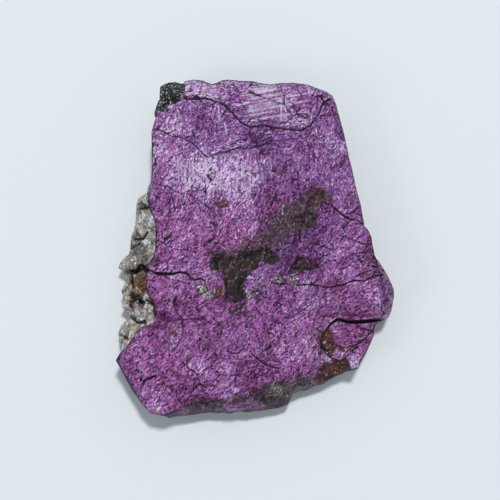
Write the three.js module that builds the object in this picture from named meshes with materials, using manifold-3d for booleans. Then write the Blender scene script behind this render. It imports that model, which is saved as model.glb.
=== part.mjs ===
// A small slab of purpurite, a purple manganese phosphate, with a rim of pale albite and
// quartz grown along its left edge. It is one stone, so it is one closed mesh. Units are
// millimetres, +Z is up, and the stone lies on its broken underside with its purple cleavage
// face upwards. The origin is on the resting plane, under the middle of the stone.
import * as THREE from "three";
import { mergeVertices } from "three/addons/utils/BufferGeometryUtils.js";
import Module from "manifold-3d";

// Driving dimensions
const FACE_HEIGHT = 8.5; // the purple face, above the resting plane
const EDGE_DROP = 0.45; // how far the worn edge of the face lies below it
const FOOT_HEIGHT = 1.3; // where the walls turn under
const FOOT_SHARE = 0.96; // the foot's reach from the middle, as a share of the girth's
const FLAT_REACH = 5; // the flat that the stone rests on, from the middle
const MIDDLE = [-0.5, -1.0]; // of the underside
const COLUMNS = 34; // squares across the face, and squares along it
const ROWS = 44;
const SHOULDER_BANDS = 3; // bands of squares from the face's edge to the girth
const WALL_BANDS = 4; // and from the girth to the foot
const CRACK_DEPTH = 2.2; // of the two open cracks
const CRACK_TAPER = 0.85; // the share of its width that a crack loses on its way in
const CLEARANCE = 4; // how far a cutter stands out of the face
const RIM_OUTER_LEVEL = 5; // the pale rim's top between its lumps, at its free edge
const RIM_INNER_LEVEL = 7.5; // and where it meets the purple
const RIM_UNDER = 1.4; // its underside
const RIM_EDGE = 0.02; // the rim's free edge, as a share of the way from its outer line inwards
const RIM_CREST = 0.65; // where its top stops rising
const RIM_HEEL = 0.55; // where its underside ends and its undercut side begins
const RIM_UNDERCUT = 2.2; // how sharply that side curves
const RIM_ROWS = 46; // squares along the rim, and squares across its top
const RIM_COLUMNS = 7;

// The face's edge and the girth, station by station: [edge x, edge y, girth x, girth y, girth z].
// The girth is the wall's outermost line. It stands out where a lower layer shows as a ledge.
const SOUTH = [
  [-12.4, -20.1, -12.4, -20.3, 6.8],
  [-10.8, -20.4, -10.8, -20.6, 6.5],
  [-9.4, -19.7, -9.4, -20.4, 5.4],
  [-8.2, -19.0, -8.2, -20.35, 5.0],
  [-7.0, -18.2, -7.0, -20.25, 4.8],
  [-5.5, -18.3, -5.5, -20.15, 4.6],
  [-3.5, -18.9, -3.5, -20.05, 5.0],
  [-2.0, -18.7, -2.0, -20.0, 5.2],
  [-0.8, -18.2, -0.8, -20.0, 5.0],
  [0.2, -17.3, 0.4, -19.85, 4.6],
  [2.0, -16.8, 2.4, -19.6, 4.4],
  [3.2, -16.6, 3.9, -19.1, 4.6],
  [4.4, -17.0, 4.6, -17.8, 5.0],
  [5.4, -16.1, 5.9, -17.4, 4.8],
  [7.2, -15.8, 7.4, -16.9, 4.8],
  [8.4, -15.9, 8.6, -16.6, 4.6],
  [9.8, -15.4, 9.9, -15.8, 4.8],
  [11.0, -14.9, 11.1, -15.15, 5.4],
  [12.1, -14.8, 12.1, -14.95, 6.0],
];
const EAST = [
  [12.1, -14.8, 12.1, -14.95, 6.0],
  [12.9, -13.2, 13.1, -13.3, 5.6],
  [13.7, -11.8, 13.9, -11.9, 5.2],
  [14.1, -10.8, 14.3, -10.8, 4.8],
  [14.2, -9.6, 14.6, -9.6, 4.4],
  [14.9, -8.7, 16.5, -8.5, 4.0],
  [15.5, -7.8, 16.9, -7.5, 4.2],
  [15.4, -6.4, 17.2, -6.0, 4.4],
  [15.2, -5.0, 17.2, -4.9, 4.4],
  [14.9, -3.8, 16.5, -3.5, 4.6],
  [14.6, -2.4, 15.5, -2.0, 4.8],
  [14.3, -1.2, 14.6, -1.1, 5.4],
  [14.0, 0.3, 14.2, 0.3, 6.0],
  [13.9, 1.1, 14.1, 1.1, 6.2],
  [13.5, 1.8, 13.7, 1.9, 6.4],
  [13.0, 2.4, 13.2, 2.5, 6.4],
  [12.65, 5.0, 12.8, 5.0, 6.6],
  [12.1, 7.0, 12.25, 7.0, 6.6],
  [11.5, 10.0, 11.65, 10.0, 6.6],
  [10.9, 13.0, 11.05, 13.0, 6.6],
  [10.3, 15.4, 10.45, 15.4, 6.6],
  [9.8, 17.3, 9.95, 17.3, 6.6],
  [9.4, 18.2, 9.55, 18.35, 6.6],
];
const NORTH = [
  [-11.7, 19.7, -11.85, 19.8, 6.4],
  [-11.0, 20.1, -11.1, 20.3, 6.2],
  [-9.8, 20.15, -9.8, 20.4, 6.0],
  [-8.7, 20.0, -8.7, 20.3, 6.0],
  [-7.5, 20.2, -7.5, 20.4, 6.2],
  [-6.5, 20.05, -6.5, 20.2, 6.4],
  [-5.9, 19.8, -5.9, 19.95, 6.4],
  [-5.35, 19.6, -5.35, 19.8, 6.2],
  [-4.8, 19.8, -4.8, 20.0, 6.2],
  [-4.2, 20.1, -4.2, 20.3, 6.2],
  [-3.3, 20.2, -3.3, 20.4, 6.4],
  [-2.0, 20.1, -2.0, 20.3, 6.4],
  [-0.5, 20.1, -0.5, 20.3, 6.4],
  [0.8, 19.8, 0.8, 20.0, 6.4],
  [1.6, 19.75, 1.6, 19.95, 6.4],
  [3.0, 19.9, 3.0, 20.1, 6.4],
  [4.5, 19.95, 4.5, 20.15, 6.4],
  [6.3, 19.7, 6.4, 19.9, 6.4],
  [7.6, 19.2, 7.7, 19.4, 6.4],
  [8.6, 18.8, 8.75, 18.95, 6.4],
  [9.4, 18.2, 9.55, 18.35, 6.6],
];
const WEST = [
  [-12.4, -20.1, -12.4, -20.3, 6.8],
  [-13.4, -19.1, -13.55, -19.2, 6.8],
  [-14.9, -16.5, -15.05, -16.6, 6.8],
  [-16.3, -14.4, -16.45, -14.45, 6.6],
  [-16.6, -13.9, -16.75, -13.9, 6.4],
  [-16.2, -13.1, -16.3, -13.1, 6.0],
  [-15.3, -12.2, -15.5, -12.2, 5.6],
  [-14.8, -11.4, -15.0, -11.4, 5.6],
  [-13.9, -10.2, -14.2, -10.2, 5.6],
  [-12.8, -9.4, -13.4, -9.4, 5.4],
  [-12.0, -8.6, -12.9, -8.6, 5.4],
  [-12.1, -7.2, -12.6, -7.2, 5.4],
  [-12.8, -6.0, -13.1, -6.0, 5.6],
  [-13.1, -5.2, -13.3, -5.2, 5.6],
  [-13.05, -3.7, -13.3, -3.7, 5.6],
  [-13.05, -2.6, -13.3, -2.6, 5.6],
  [-12.4, -1.6, -12.7, -1.6, 5.6],
  [-12.0, -0.6, -12.3, -0.6, 5.6],
  [-12.0, 1.5, -12.3, 1.5, 5.6],
  [-12.1, 2.6, -12.4, 2.6, 5.8],
  [-12.6, 3.9, -12.8, 3.9, 6.0],
  [-13.0, 5.2, -13.1, 5.2, 6.2],
  [-12.85, 6.5, -12.95, 6.5, 6.4],
  [-12.65, 8.0, -12.75, 8.0, 6.6],
  [-12.6, 10.0, -12.7, 10.0, 6.6],
  [-12.65, 12.0, -12.75, 12.0, 6.6],
  [-12.7, 13.8, -12.8, 13.8, 6.6],
  [-12.4, 14.9, -12.5, 14.9, 6.4],
  [-12.1, 15.7, -12.25, 15.7, 6.2],
  [-12.35, 16.5, -12.5, 16.5, 6.2],
  [-12.0, 17.4, -12.15, 17.4, 6.2],
  [-11.7, 18.2, -11.85, 18.2, 6.2],
  [-11.75, 19.0, -11.9, 19.0, 6.2],
  [-11.7, 19.7, -11.85, 19.8, 6.4],
];

// Raised and sunken parts of the face: an outline, how far it lifts, and how wide its step is.
const PLATES = [
  {
    name: "above the long crack",
    lift: 0.18,
    step: 0.5,
    outline: [
      [-15, 14.4], [-12.6, 14.2], [-10.5, 13.4], [-8.5, 12.7], [-6.2, 10.9], [-4.5, 11.1],
      [-2, 11.9], [0, 12], [1.8, 12.6], [5, 13], [6.7, 14.2], [12, 19], [10, 23], [-15, 23],
    ],
  },
  {
    name: "top flake",
    lift: 0.4,
    step: 0.45,
    outline: [
      [-8.7, 18], [-6.5, 17.75], [-5, 17.5], [-4, 17.25], [-3.3, 16.6], [-2.6, 15.6], [-2, 14.9],
      [-1, 14.4], [1, 14.4], [4, 14.1], [6.3, 14.2], [7.2, 15.5], [8.1, 17.2], [9.3, 18],
      [11, 23], [-8.8, 23],
    ],
  },
  {
    name: "dark corner",
    lift: -0.75,
    step: 0.5,
    outline: [
      [-14, 23], [-14, 16.4], [-11.5, 16.5], [-10.8, 17], [-9.6, 17.6], [-8.75, 18], [-8.9, 23],
    ],
  },
  {
    name: "right shoulder",
    lift: 0.25,
    step: 0.5,
    outline: [
      [8, 5.15], [9.65, 4.3], [10.6, 3.7], [11.9, 2.9], [13, 2.4], [16, 2.4], [14, 12], [8.6, 9],
    ],
  },
  {
    name: "right flake",
    lift: 0.4,
    step: 0.5,
    outline: [
      [8.5, -5.3], [10, -5.1], [11.3, -4.5], [14.6, -3.5], [18, -3], [18, -8.8], [14.3, -9.05],
      [12.3, -9.25], [9.6, -8.9], [8.6, -7.8], [8.2, -6.6],
    ],
  },
  {
    name: "low wedge",
    lift: -0.6,
    step: 0.4,
    outline: [
      [9.6, -8.9], [12.3, -9.25], [14.3, -9.05], [18, -8.8], [18, -20], [7, -20], [7.7, -12],
      [8.5, -10],
    ],
  },
  {
    name: "rusty slope",
    lift: -1.5,
    step: 1.8,
    outline: [[7.4, -14.6], [9.6, -13.9], [11.2, -14.8], [12, -19], [6, -19]],
  },
  {
    name: "valley",
    lift: -0.45,
    step: 2.2,
    outline: [
      [9.2, 7.6], [6.2, 6.6], [3.2, 3.4], [0, -0.6], [-5.4, -1.2], [-5.2, -3.6], [-3.8, -7.6],
      [0.4, -6.4], [1, -3.6], [7.8, -3.1], [7.6, -0.6], [8.6, 3.4],
    ],
  },
  {
    name: "main hollow",
    lift: -0.6,
    step: 0.5,
    outline: [
      [-5, -1.6], [-1.5, -1.5], [0.2, -0.7], [1.2, -0.4], [2.2, -1.5], [1, -2.3], [-0.5, -3.1],
      [-1.8, -4.3], [-2.1, -5.2], [-1.2, -6.5], [-2.6, -7], [-3.5, -6.4], [-3.6, -4.6],
      [-4.4, -3.5],
    ],
  },
  {
    name: "upper hollow",
    lift: -0.45,
    step: 0.6,
    outline: [
      [4.3, 3.1], [5.8, 3.8], [6.4, 5.4], [7.9, 6.8], [8.3, 6.1], [7.7, 3.9], [6.4, 2.4],
    ],
  },
  {
    name: "right hollow",
    lift: -0.6,
    step: 0.5,
    outline: [[4.2, -2.8], [5, -1.5], [6.4, -1.5], [7.4, -2.6], [6.6, -2.95], [5, -2.8]],
  },
  {
    name: "left pocket",
    lift: -1.1,
    step: 1.3,
    outline: [[-13.4, -8.3], [-10.9, -8.4], [-9.9, -9.2], [-10.7, -10], [-13.4, -9.8]],
  },
];

// The two cracks that stand open, as lines on the face, widest where they leave the stone.
const OPEN_CRACKS = [
  {
    width: 0.4,
    line: [[-14.2, -2.9], [-12.6, -3.3], [-11, -3.55], [-9, -3.35], [-7.9, -3.9], [-6.6, -4.2]],
  },
  {
    width: 0.42,
    line: [[17.6, -8.9], [14.3, -9.1], [12.3, -9.3], [10.5, -9], [9.6, -8.9], [8.5, -10], [7.8, -11.3]],
  },
];

// The pale rim, crossed from its outer line to a line inside the purple: [x, y] to [x, y].
const RIM = [
  [-12.7, 8.7, -11.9, 9.0],
  [-13.2, 7.9, -11.7, 8.1],
  [-13.45, 7.4, -11.7, 7.5],
  [-13.4, 6.8, -11.7, 6.9],
  [-14.45, 6.2, -11.8, 6.3],
  [-14.8, 5.3, -11.9, 5.4],
  [-14.65, 4.0, -11.7, 4.1],
  [-14.8, 3.3, -11.4, 3.3],
  [-15.05, 2.1, -11.2, 2.1],
  [-15.5, 1.1, -11.1, 1.1],
  [-15.4, 0.2, -11.1, 0.2],
  [-15.65, -0.6, -11.2, -0.7],
  [-16.6, -1.8, -11.5, -1.6],
  [-16.9, -2.3, -11.9, -2.3],
  [-16.0, -3.2, -12.0, -3.2],
  [-16.0, -4.0, -12.0, -4.1],
  [-16.5, -5.3, -11.9, -5.3],
  [-16.1, -6.4, -11.6, -6.2],
  [-16.5, -7.2, -11.3, -7.0],
  [-15.5, -7.9, -11.0, -7.8],
  [-15.3, -8.5, -11.4, -8.9],
  [-16.0, -9.0, -12.4, -9.9],
  [-16.5, -9.6, -13.0, -10.6],
  [-16.8, -10.5, -13.7, -11.3],
  [-16.5, -11.4, -14.1, -12.0],
  [-16.3, -12.3, -14.7, -12.7],
  [-16.4, -13.2, -15.2, -13.4],
  [-16.2, -13.8, -15.6, -14.0],
];

// Lumps on the rim: middle, reach, and how far the top rises.
const LUMPS = [
  [-13.1, 7.8, 0.9, 0.5],
  [-14.0, 5.8, 1.2, 1.2],
  [-13.9, 4.3, 1.2, 0.7],
  [-13.0, 2.9, 1.1, 0.6],
  [-14.5, 2.4, 1.0, 1.0],
  [-15.1, 0.8, 0.7, 0.7],
  [-12.9, 1.2, 0.9, 0.4],
  [-13.9, -0.4, 1.5, 0.9],
  [-15.2, -1.4, 1.2, 0.9],
  [-16.4, -2.1, 0.8, 0.8],
  [-15.6, -3.6, 0.9, 0.6],
  [-14.2, -4.5, 1.3, 0.2],
  [-15.9, -5.0, 1.0, 0.8],
  [-15.7, -6.9, 1.0, 0.7],
  [-14.0, -6.4, 0.9, 0.1],
  [-13.4, -8.0, 1.3, 0.9],
  [-15.3, -9.9, 1.4, 1.1],
  [-16.1, -11.4, 0.8, 0.8],
  [-16.1, -12.8, 0.6, 0.5],
];

const smooth = (t) => {
  const s = Math.min(1, Math.max(0, t));
  return s * s * (3 - 2 * s);
};

// Distance from (x, y) to the piece of line from a to b.
function pieceDistance([ax, ay], [bx, by], x, y) {
  const [dx, dy] = [bx - ax, by - ay];
  const t = Math.min(1, Math.max(0, ((x - ax) * dx + (y - ay) * dy) / (dx * dx + dy * dy)));
  return Math.hypot(x - ax - t * dx, y - ay - t * dy);
}

// Distance from (x, y) to a closed outline, positive inside it.
function depthInside(outline, x, y) {
  let nearest = Infinity;
  let inside = false;
  outline.forEach((b, i) => {
    const a = outline[(i + outline.length - 1) % outline.length];
    nearest = Math.min(nearest, pieceDistance(a, b, x, y));
    const crosses = a[1] > y !== b[1] > y;
    if (crosses && x < a[0] + ((b[0] - a[0]) * (y - a[1])) / (b[1] - a[1])) inside = !inside;
  });
  return inside ? nearest : -nearest;
}

// Broad, shallow waves over the whole face, from three crossed sines.
function swell(x, y) {
  return (
    0.16 * Math.sin(0.31 * x + 0.17 * y + 0.6) +
    0.13 * Math.sin(0.23 * y - 0.36 * x + 2.1) * Math.cos(0.29 * y - 0.5) +
    0.07 * Math.sin(0.83 * x + 0.47 * y) * Math.sin(0.71 * y - 0.39 * x + 1.3)
  );
}

// Height of the purple face at (x, y).
function faceHeight(x, y) {
  return PLATES.reduce(
    (z, { outline, lift, step }) => z + lift * smooth(depthInside(outline, x, y) / step + 0.5),
    FACE_HEIGHT + swell(x, y),
  );
}

// A number from 0 to 1 that belongs to one corner of a lattice, always the same one.
function cornerValue(i, j, k, m = 0) {
  const wave = Math.sin(127.1 * i + 311.7 * j + 74.7 * k + 193.3 * m) * 43758.5453;
  return wave - Math.floor(wave);
}

// Smooth lumpy values from 0 to 1: the corners of the lattice, blended in between.
function lumpy(x, y, z) {
  const low = [x, y, z].map(Math.floor);
  const share = [x, y, z].map((v, n) => smooth(v - low[n]));
  let sum = 0;
  for (const i of [0, 1])
    for (const j of [0, 1])
      for (const k of [0, 1]) {
        const weight = [i, j, k].reduce((w, side, n) => w * (side ? share[n] : 1 - share[n]), 1);
        sum += weight * cornerValue(low[0] + i, low[1] + j, low[2] + k);
      }
  return sum;
}

// Broken faces: the greatest of a set of tilted domes, one round each of a lattice of scattered
// middles, which meet along sharp creases. About 0 on average.
function facets(x, y, z, key) {
  const place = [x, y, z];
  const low = place.map(Math.floor);
  let height = -Infinity;
  for (const i of [-1, 0, 1])
    for (const j of [-1, 0, 1])
      for (const k of [-1, 0, 1]) {
        const cell = [low[0] + i, low[1] + j, low[2] + k];
        let dome = 0.6 * cornerValue(...cell, key + 6);
        cell.forEach((corner, n) => {
          const away = place[n] - corner - cornerValue(...cell, key + n);
          const tilt = cornerValue(...cell, key + 3 + n) - 0.5;
          dome += 1.2 * tilt * away - 0.6 * away * away;
        });
        height = Math.max(height, dome);
      }
  return height - 0.45;
}

// How far a wall point stands in (below 0) or out: broken blocks and chips.
function wallRelief(x, y, z) {
  const blocks = facets(x / 3, y / 3, z / 2.4, 43);
  const chips = facets(x / 1.2, y / 1.2, z / 0.7, 44);
  return 1.7 * blocks + 0.35 * chips - 0.3;
}

// Height of the broken underside: flat in the middle, uneven around it, rising to the walls.
function undersideHeight(x, y, inset) {
  const away = smooth((Math.hypot(x - MIDDLE[0], y - MIDDLE[1]) - FLAT_REACH) / 4);
  const hollows = 1.5 * (lumpy(x / 5.5, y / 5.5, 7) - 0.35) + 0.4 * (lumpy(x / 1.9, y / 1.9, 3) - 0.5);
  const rise = FOOT_HEIGHT * (1 - smooth(inset / 0.16));
  return Math.max(0, away * hollows) * smooth(inset / 0.1) + rise;
}

// Points spaced evenly along a row of stations, every number of a station drawn along with it.
function spaced(stations, pieces) {
  const reach = [0];
  for (let i = 1; i < stations.length; i++) {
    const [a, b] = [stations[i - 1], stations[i]];
    reach.push(reach[i - 1] + Math.hypot(b[0] - a[0], b[1] - a[1]));
  }
  return Array.from({ length: pieces + 1 }, (_, k) => {
    const at = (reach[reach.length - 1] * k) / pieces;
    let i = 1;
    while (i < reach.length - 1 && reach[i] < at) i++;
    const t = (at - reach[i - 1]) / (reach[i] - reach[i - 1]);
    return stations[i].map((value, n) => stations[i - 1][n] + t * (value - stations[i - 1][n]));
  });
}

// A point inside four edges at shares u and v across and along: the edges blended (a Coons patch).
function blended({ south, east, north, west }, i, j) {
  const [u, v] = [i / COLUMNS, j / ROWS];
  return [0, 1].map(
    (n) =>
      (1 - v) * south[i][n] +
      v * north[i][n] +
      (1 - u) * west[j][n] +
      u * east[j][n] -
      (1 - u) * (1 - v) * south[0][n] -
      u * (1 - v) * south[COLUMNS][n] -
      (1 - u) * v * north[0][n] -
      u * v * north[COLUMNS][n],
  );
}

// The numbers (i, j) of a grid's outermost points, once round, anticlockwise.
function roundGrid() {
  const round = [];
  for (let i = 0; i < COLUMNS; i++) round.push([i, 0]);
  for (let j = 0; j < ROWS; j++) round.push([COLUMNS, j]);
  for (let i = COLUMNS; i > 0; i--) round.push([i, ROWS]);
  for (let j = ROWS; j > 0; j--) round.push([0, j]);
  return round;
}

// The purple stone without its rim: a face, walls in rings, and an underside.
function slabGeometry() {
  const sides = {
    south: spaced(SOUTH, COLUMNS),
    east: spaced(EAST, ROWS),
    north: spaced(NORTH, COLUMNS),
    west: spaced(WEST, ROWS),
  };
  const round = roundGrid();
  const stationAt = ([i, j]) => {
    if (j === 0) return sides.south[i];
    if (i === COLUMNS) return sides.east[j];
    return j === ROWS ? sides.north[i] : sides.west[j];
  };
  const points = [];
  const triangles = [];
  const quad = (a, b, c, d) => triangles.push(a, b, c, a, c, d);
  const add = (point) => points.push(point) - 1;

  const face = [];
  for (let j = 0; j <= ROWS; j++)
    for (let i = 0; i <= COLUMNS; i++) {
      const [x, y] = blended(sides, i, j);
      const onEdge = i === 0 || j === 0 || i === COLUMNS || j === ROWS;
      face.push(add([x, y, faceHeight(x, y) - (onEdge ? EDGE_DROP : 0)]));
    }
  const at = (i, j) => j * (COLUMNS + 1) + i;
  for (let j = 0; j < ROWS; j++)
    for (let i = 0; i < COLUMNS; i++)
      quad(face[at(i, j)], face[at(i + 1, j)], face[at(i + 1, j + 1)], face[at(i, j + 1)]);

  const pushed = (x, y, z, share) => {
    const push = (share * wallRelief(x, y, z)) / Math.hypot(x, y);
    return [x * (1 + push), y * (1 + push), z];
  };
  const shoulder = (t) => (s, top) =>
    pushed(s[0] + t * (s[2] - s[0]), s[1] + t * (s[3] - s[1]), top + t * t * (s[4] - top), t / 4);
  const wall = (t) => (s) => {
    const share = 1 + t * t * (FOOT_SHARE - 1);
    const [x, y] = MIDDLE.map((m, n) => m + share * (s[2 + n] - m));
    return pushed(x, y, s[4] + t * (FOOT_HEIGHT - s[4]), 0.25 + 0.75 * smooth(3 * t));
  };
  const rings = [
    ...Array.from({ length: SHOULDER_BANDS }, (_, k) => shoulder((k + 1) / SHOULDER_BANDS)),
    ...Array.from({ length: WALL_BANDS }, (_, k) => wall((k + 1) / WALL_BANDS)),
  ];
  const edge = round.map(([i, j]) => face[at(i, j)]);
  let above = edge;
  for (const ring of rings) {
    const below = round.map((place, k) => add(ring(stationAt(place), points[edge[k]][2])));
    above.forEach((a, k) => {
      const next = (k + 1) % above.length;
      quad(a, below[k], below[next], above[next]);
    });
    above = below;
  }

  const foot = new Map(round.map(([i, j], k) => [at(i, j), above[k]]));
  const footPoint = (i, j) => points[foot.get(at(i, j))];
  const footSides = {
    south: sides.south.map((_, i) => footPoint(i, 0)),
    east: sides.east.map((_, j) => footPoint(COLUMNS, j)),
    north: sides.north.map((_, i) => footPoint(i, ROWS)),
    west: sides.west.map((_, j) => footPoint(0, j)),
  };
  const under = [];
  for (let j = 0; j <= ROWS; j++)
    for (let i = 0; i <= COLUMNS; i++) {
      const inset = Math.min(i / COLUMNS, 1 - i / COLUMNS, j / ROWS, 1 - j / ROWS);
      const [x, y] = blended(footSides, i, j);
      under.push(foot.get(at(i, j)) ?? add([x, y, undersideHeight(x, y, inset)]));
    }
  for (let j = 0; j < ROWS; j++)
    for (let i = 0; i < COLUMNS; i++)
      quad(under[at(i, j)], under[at(i, j + 1)], under[at(i + 1, j + 1)], under[at(i + 1, j)]);
  return geometryOf(points, triangles);
}

function geometryOf(points, triangles) {
  const geometry = new THREE.BufferGeometry();
  geometry.setAttribute("position", new THREE.Float32BufferAttribute(points.flat(), 3));
  geometry.setIndex(triangles);
  return geometry;
}

// How far the lumps on the rim rise at a point.
function lumpRise(x, y) {
  return LUMPS.reduce((rise, [cx, cy, reach, height]) => {
    const away = Math.hypot(x - cx, y - cy) / reach;
    return away < 1 ? Math.max(rise, height * Math.sqrt(1 - away * away)) : rise;
  }, 0);
}

// The pale rim: rings around it, each across the top, which rises towards the purple, down inside
// it, back underneath, and up the undercut outer side.
function rimGeometry() {
  const rows = spaced(RIM, RIM_ROWS);
  const points = [];
  const triangles = [];
  for (const [outX, outY, inX, inY] of rows) {
    const across = (t) => [outX + t * (inX - outX), outY + t * (inY - outY)];
    const top = Array.from({ length: RIM_COLUMNS + 1 }, (_, k) => {
      const t = RIM_EDGE + ((1 - RIM_EDGE) * k) / RIM_COLUMNS;
      const [x, y] = across(t);
      const level = RIM_OUTER_LEVEL + (RIM_INNER_LEVEL - RIM_OUTER_LEVEL) * smooth(t / RIM_CREST);
      return [x, y, level + lumpRise(x, y) - (k === 0 ? EDGE_DROP : 0)];
    });
    points.push(...top, [inX, inY, RIM_UNDER], [...across(RIM_HEEL), RIM_UNDER]);
    for (const s of [1 / 3, 2 / 3]) {
      const [x, y] = across(RIM_EDGE + (RIM_HEEL - RIM_EDGE) * (1 - s) ** RIM_UNDERCUT);
      const z = RIM_UNDER + s * (top[0][2] - RIM_UNDER);
      points.push([x - facets(x / 1.7, y / 1.7, z / 1.6, 71) + 0.25, y, z]);
    }
  }
  const corners = points.length / rows.length;
  for (let i = 0; i < RIM_ROWS; i++)
    for (let k = 0; k < corners; k++) {
      const next = (k + 1) % corners;
      const [a, b] = [i * corners, (i + 1) * corners];
      triangles.push(a + k, b + next, a + next, a + k, b + k, b + next);
    }
  const last = RIM_ROWS * corners;
  for (let k = 1; k < corners - 1; k++) {
    triangles.push(0, k, k + 1);
    triangles.push(last, last + k + 1, last + k);
  }
  return geometryOf(points, triangles);
}

// A knife-thin wedge along a crack, to be cut out of the face. Its width falls to nothing at its end.
function crackGeometry({ width, line }) {
  const side = (sign) =>
    line.map(([x, y], i) => {
      const [a, b] = [line[Math.max(0, i - 1)], line[Math.min(line.length - 1, i + 1)]];
      const length = Math.hypot(b[0] - a[0], b[1] - a[1]);
      const half = (sign * width * (1 - (CRACK_TAPER * i) / (line.length - 1))) / 2;
      return new THREE.Vector2(x - (half * (b[1] - a[1])) / length, y + (half * (b[0] - a[0])) / length);
    });
  const outline = new THREE.Shape([...side(1), ...side(-1).reverse()]);
  const depth = CLEARANCE + CRACK_DEPTH;
  const geometry = new THREE.ExtrudeGeometry(outline, { depth, bevelEnabled: false });
  return geometry.translate(0, 0, FACE_HEIGHT - CRACK_DEPTH);
}

// Solids for cutting and joining
const wasm = await Module();
wasm.setup();

function solidOf(geometry) {
  const bare = geometry.clone();
  bare.deleteAttribute("normal");
  bare.deleteAttribute("uv");
  const merged = mergeVertices(bare, 1e-4);
  return new wasm.Manifold(
    new wasm.Mesh({
      numProp: 3,
      vertProperties: merged.attributes.position.array,
      triVerts: new Uint32Array(merged.index.array),
    }),
  );
}

function stoneGeometry() {
  const slab = OPEN_CRACKS.reduce(
    (solid, crack) => solid.subtract(solidOf(crackGeometry(crack))),
    solidOf(slabGeometry()),
  );
  const mesh = slab.add(solidOf(rimGeometry())).getMesh();
  const geometry = new THREE.BufferGeometry();
  geometry.setAttribute("position", new THREE.BufferAttribute(mesh.vertProperties, mesh.numProp));
  geometry.setIndex(new THREE.BufferAttribute(mesh.triVerts, 1));
  geometry.computeBoundingBox();
  const middle = geometry.boundingBox.getCenter(new THREE.Vector3());
  geometry.translate(-middle.x, -middle.y, -geometry.boundingBox.min.z);
  geometry.computeVertexNormals();
  return geometry;
}

const purpurite = new THREE.Mesh(
  stoneGeometry(),
  new THREE.MeshStandardMaterial({ color: 0x7c4a8a, roughness: 0.45, metalness: 0.2, flatShading: true }),
);
purpurite.name = "purpurite";

const stone = new THREE.Group();
stone.add(purpurite);
export default stone;
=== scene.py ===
"""A purpurite specimen: a satiny purple slab with a rim of pale feldspar and quartz.

The shapes are worked out in millimetres, in the frame that the outlines were measured in, and
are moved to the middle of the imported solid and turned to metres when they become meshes.
"""

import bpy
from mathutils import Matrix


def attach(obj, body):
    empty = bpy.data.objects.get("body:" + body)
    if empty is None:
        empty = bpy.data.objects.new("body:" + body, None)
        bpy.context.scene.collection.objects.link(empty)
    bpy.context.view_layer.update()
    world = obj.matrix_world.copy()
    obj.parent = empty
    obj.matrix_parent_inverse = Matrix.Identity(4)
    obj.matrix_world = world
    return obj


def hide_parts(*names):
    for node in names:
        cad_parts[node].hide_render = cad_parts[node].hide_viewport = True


bl_info = {
    "name": "Purpurite Specimen",
    "version": (1, 0, 0),
    "blender": (4, 5, 0),
    "location": "View3D > Sidebar > Purpurite",
    "description": "Builds a purpurite slab with its pale rim, and the floor, lights and camera",
    "category": "Add Mesh",
}

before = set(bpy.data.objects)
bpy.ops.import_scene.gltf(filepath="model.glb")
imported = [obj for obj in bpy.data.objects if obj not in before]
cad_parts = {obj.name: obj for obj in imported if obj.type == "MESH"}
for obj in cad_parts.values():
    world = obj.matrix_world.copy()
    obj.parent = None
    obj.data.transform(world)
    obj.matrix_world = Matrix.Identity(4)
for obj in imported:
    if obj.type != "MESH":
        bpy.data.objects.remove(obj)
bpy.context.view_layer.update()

import math
from itertools import product
from types import SimpleNamespace

import bpy
import numpy as np
from mathutils import Matrix, Vector

MM = 0.001

# For patterns: the steps to a cell's neighbours, a distance past every other, and the speeds and
# the size of the sine that gives each corner of a lattice its fixed number
NEIGHBOURS = (-1, 0, 1)
FAR = 1e9
SINE_SPEEDS = (127.1, 311.7, 74.7, 193.3)
SINE_SIZE = 43758.5453

# The slab: heights and reaches in millimetres, and how many points and bands it has
FACE_HEIGHT = 8.5
EDGE_DROP = 0.45
EDGE_ROUNDING = 0.8
EDGE_FADE = 1.5
FOOT_HEIGHT = 1.3
FOOT_SHARE = 0.96
FLAT_REACH = 5.0
FLAT_BLEND = 4.0
MIDDLE = np.array([-0.5, -1.0])
FACE_WIDTH = 27.0
FACE_LENGTH = 40.0
COLUMNS = 190
ROWS = 286
SHOULDER_BANDS = 8
WALL_BANDS = 20

# The marks: how wide the dark band along the face's edge is and how far down the walls it goes,
# how far below the face its marks reach, and how the walls' grain is stretched upwards and moved
# away from that of the face
DARK_EDGE_WIDTH = 0.25
DARK_EDGE_DEPTH = 0.4
MARK_DEPTH = 3.2
WALL_STRETCH = 1.6
WALL_SHIFT = 20.0

# The rim: its levels in millimetres, shares of the way from its outer line inwards, the bend of
# its undercut side, and how many points it has each way
RIM_OUTER_LEVEL = 5.0
RIM_INNER_LEVEL = 7.5
RIM_UNDER = 1.4
RIM_EDGE = 0.02
RIM_CREST = 0.65
RIM_HEEL = 0.55
RIM_UNDERCUT = 2.2
RIM_ROWS = 380
RIM_COLUMNS = 63
RIM_INSIDE_ROWS = 6
RIM_UNDER_ROWS = 12
RIM_SIDE_ROWS = 44

# The rim's roughness: how far its free edge drops and over which share of the way, how strong its
# crystal faces are, and how strongly its side sways
RIM_DROP = 0.9
RIM_DROP_SHARE = 0.16
RIM_GRAIN = 0.7
RIM_SWAY = 3.0

# The camera that the outlines were measured with, in the same millimetres
LENS = 89.9
SENSOR = 36.0
CAMERA_DISTANCE = 158.0
CAMERA_TILT = 8.0
CAMERA_SIDE = 1.2
CAMERA_AIM = (-0.55, 0.5)
CLIP_START = 10.0

# How hollow the surface is, which the materials paint shade from: rounds of smoothing, how many
# mean sizes make 1, and the largest value
HOLLOW_ROUNDS = (1, 9)
HOLLOW_UNIT = 2.0
HOLLOW_LIMIT = 3.0

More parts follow.
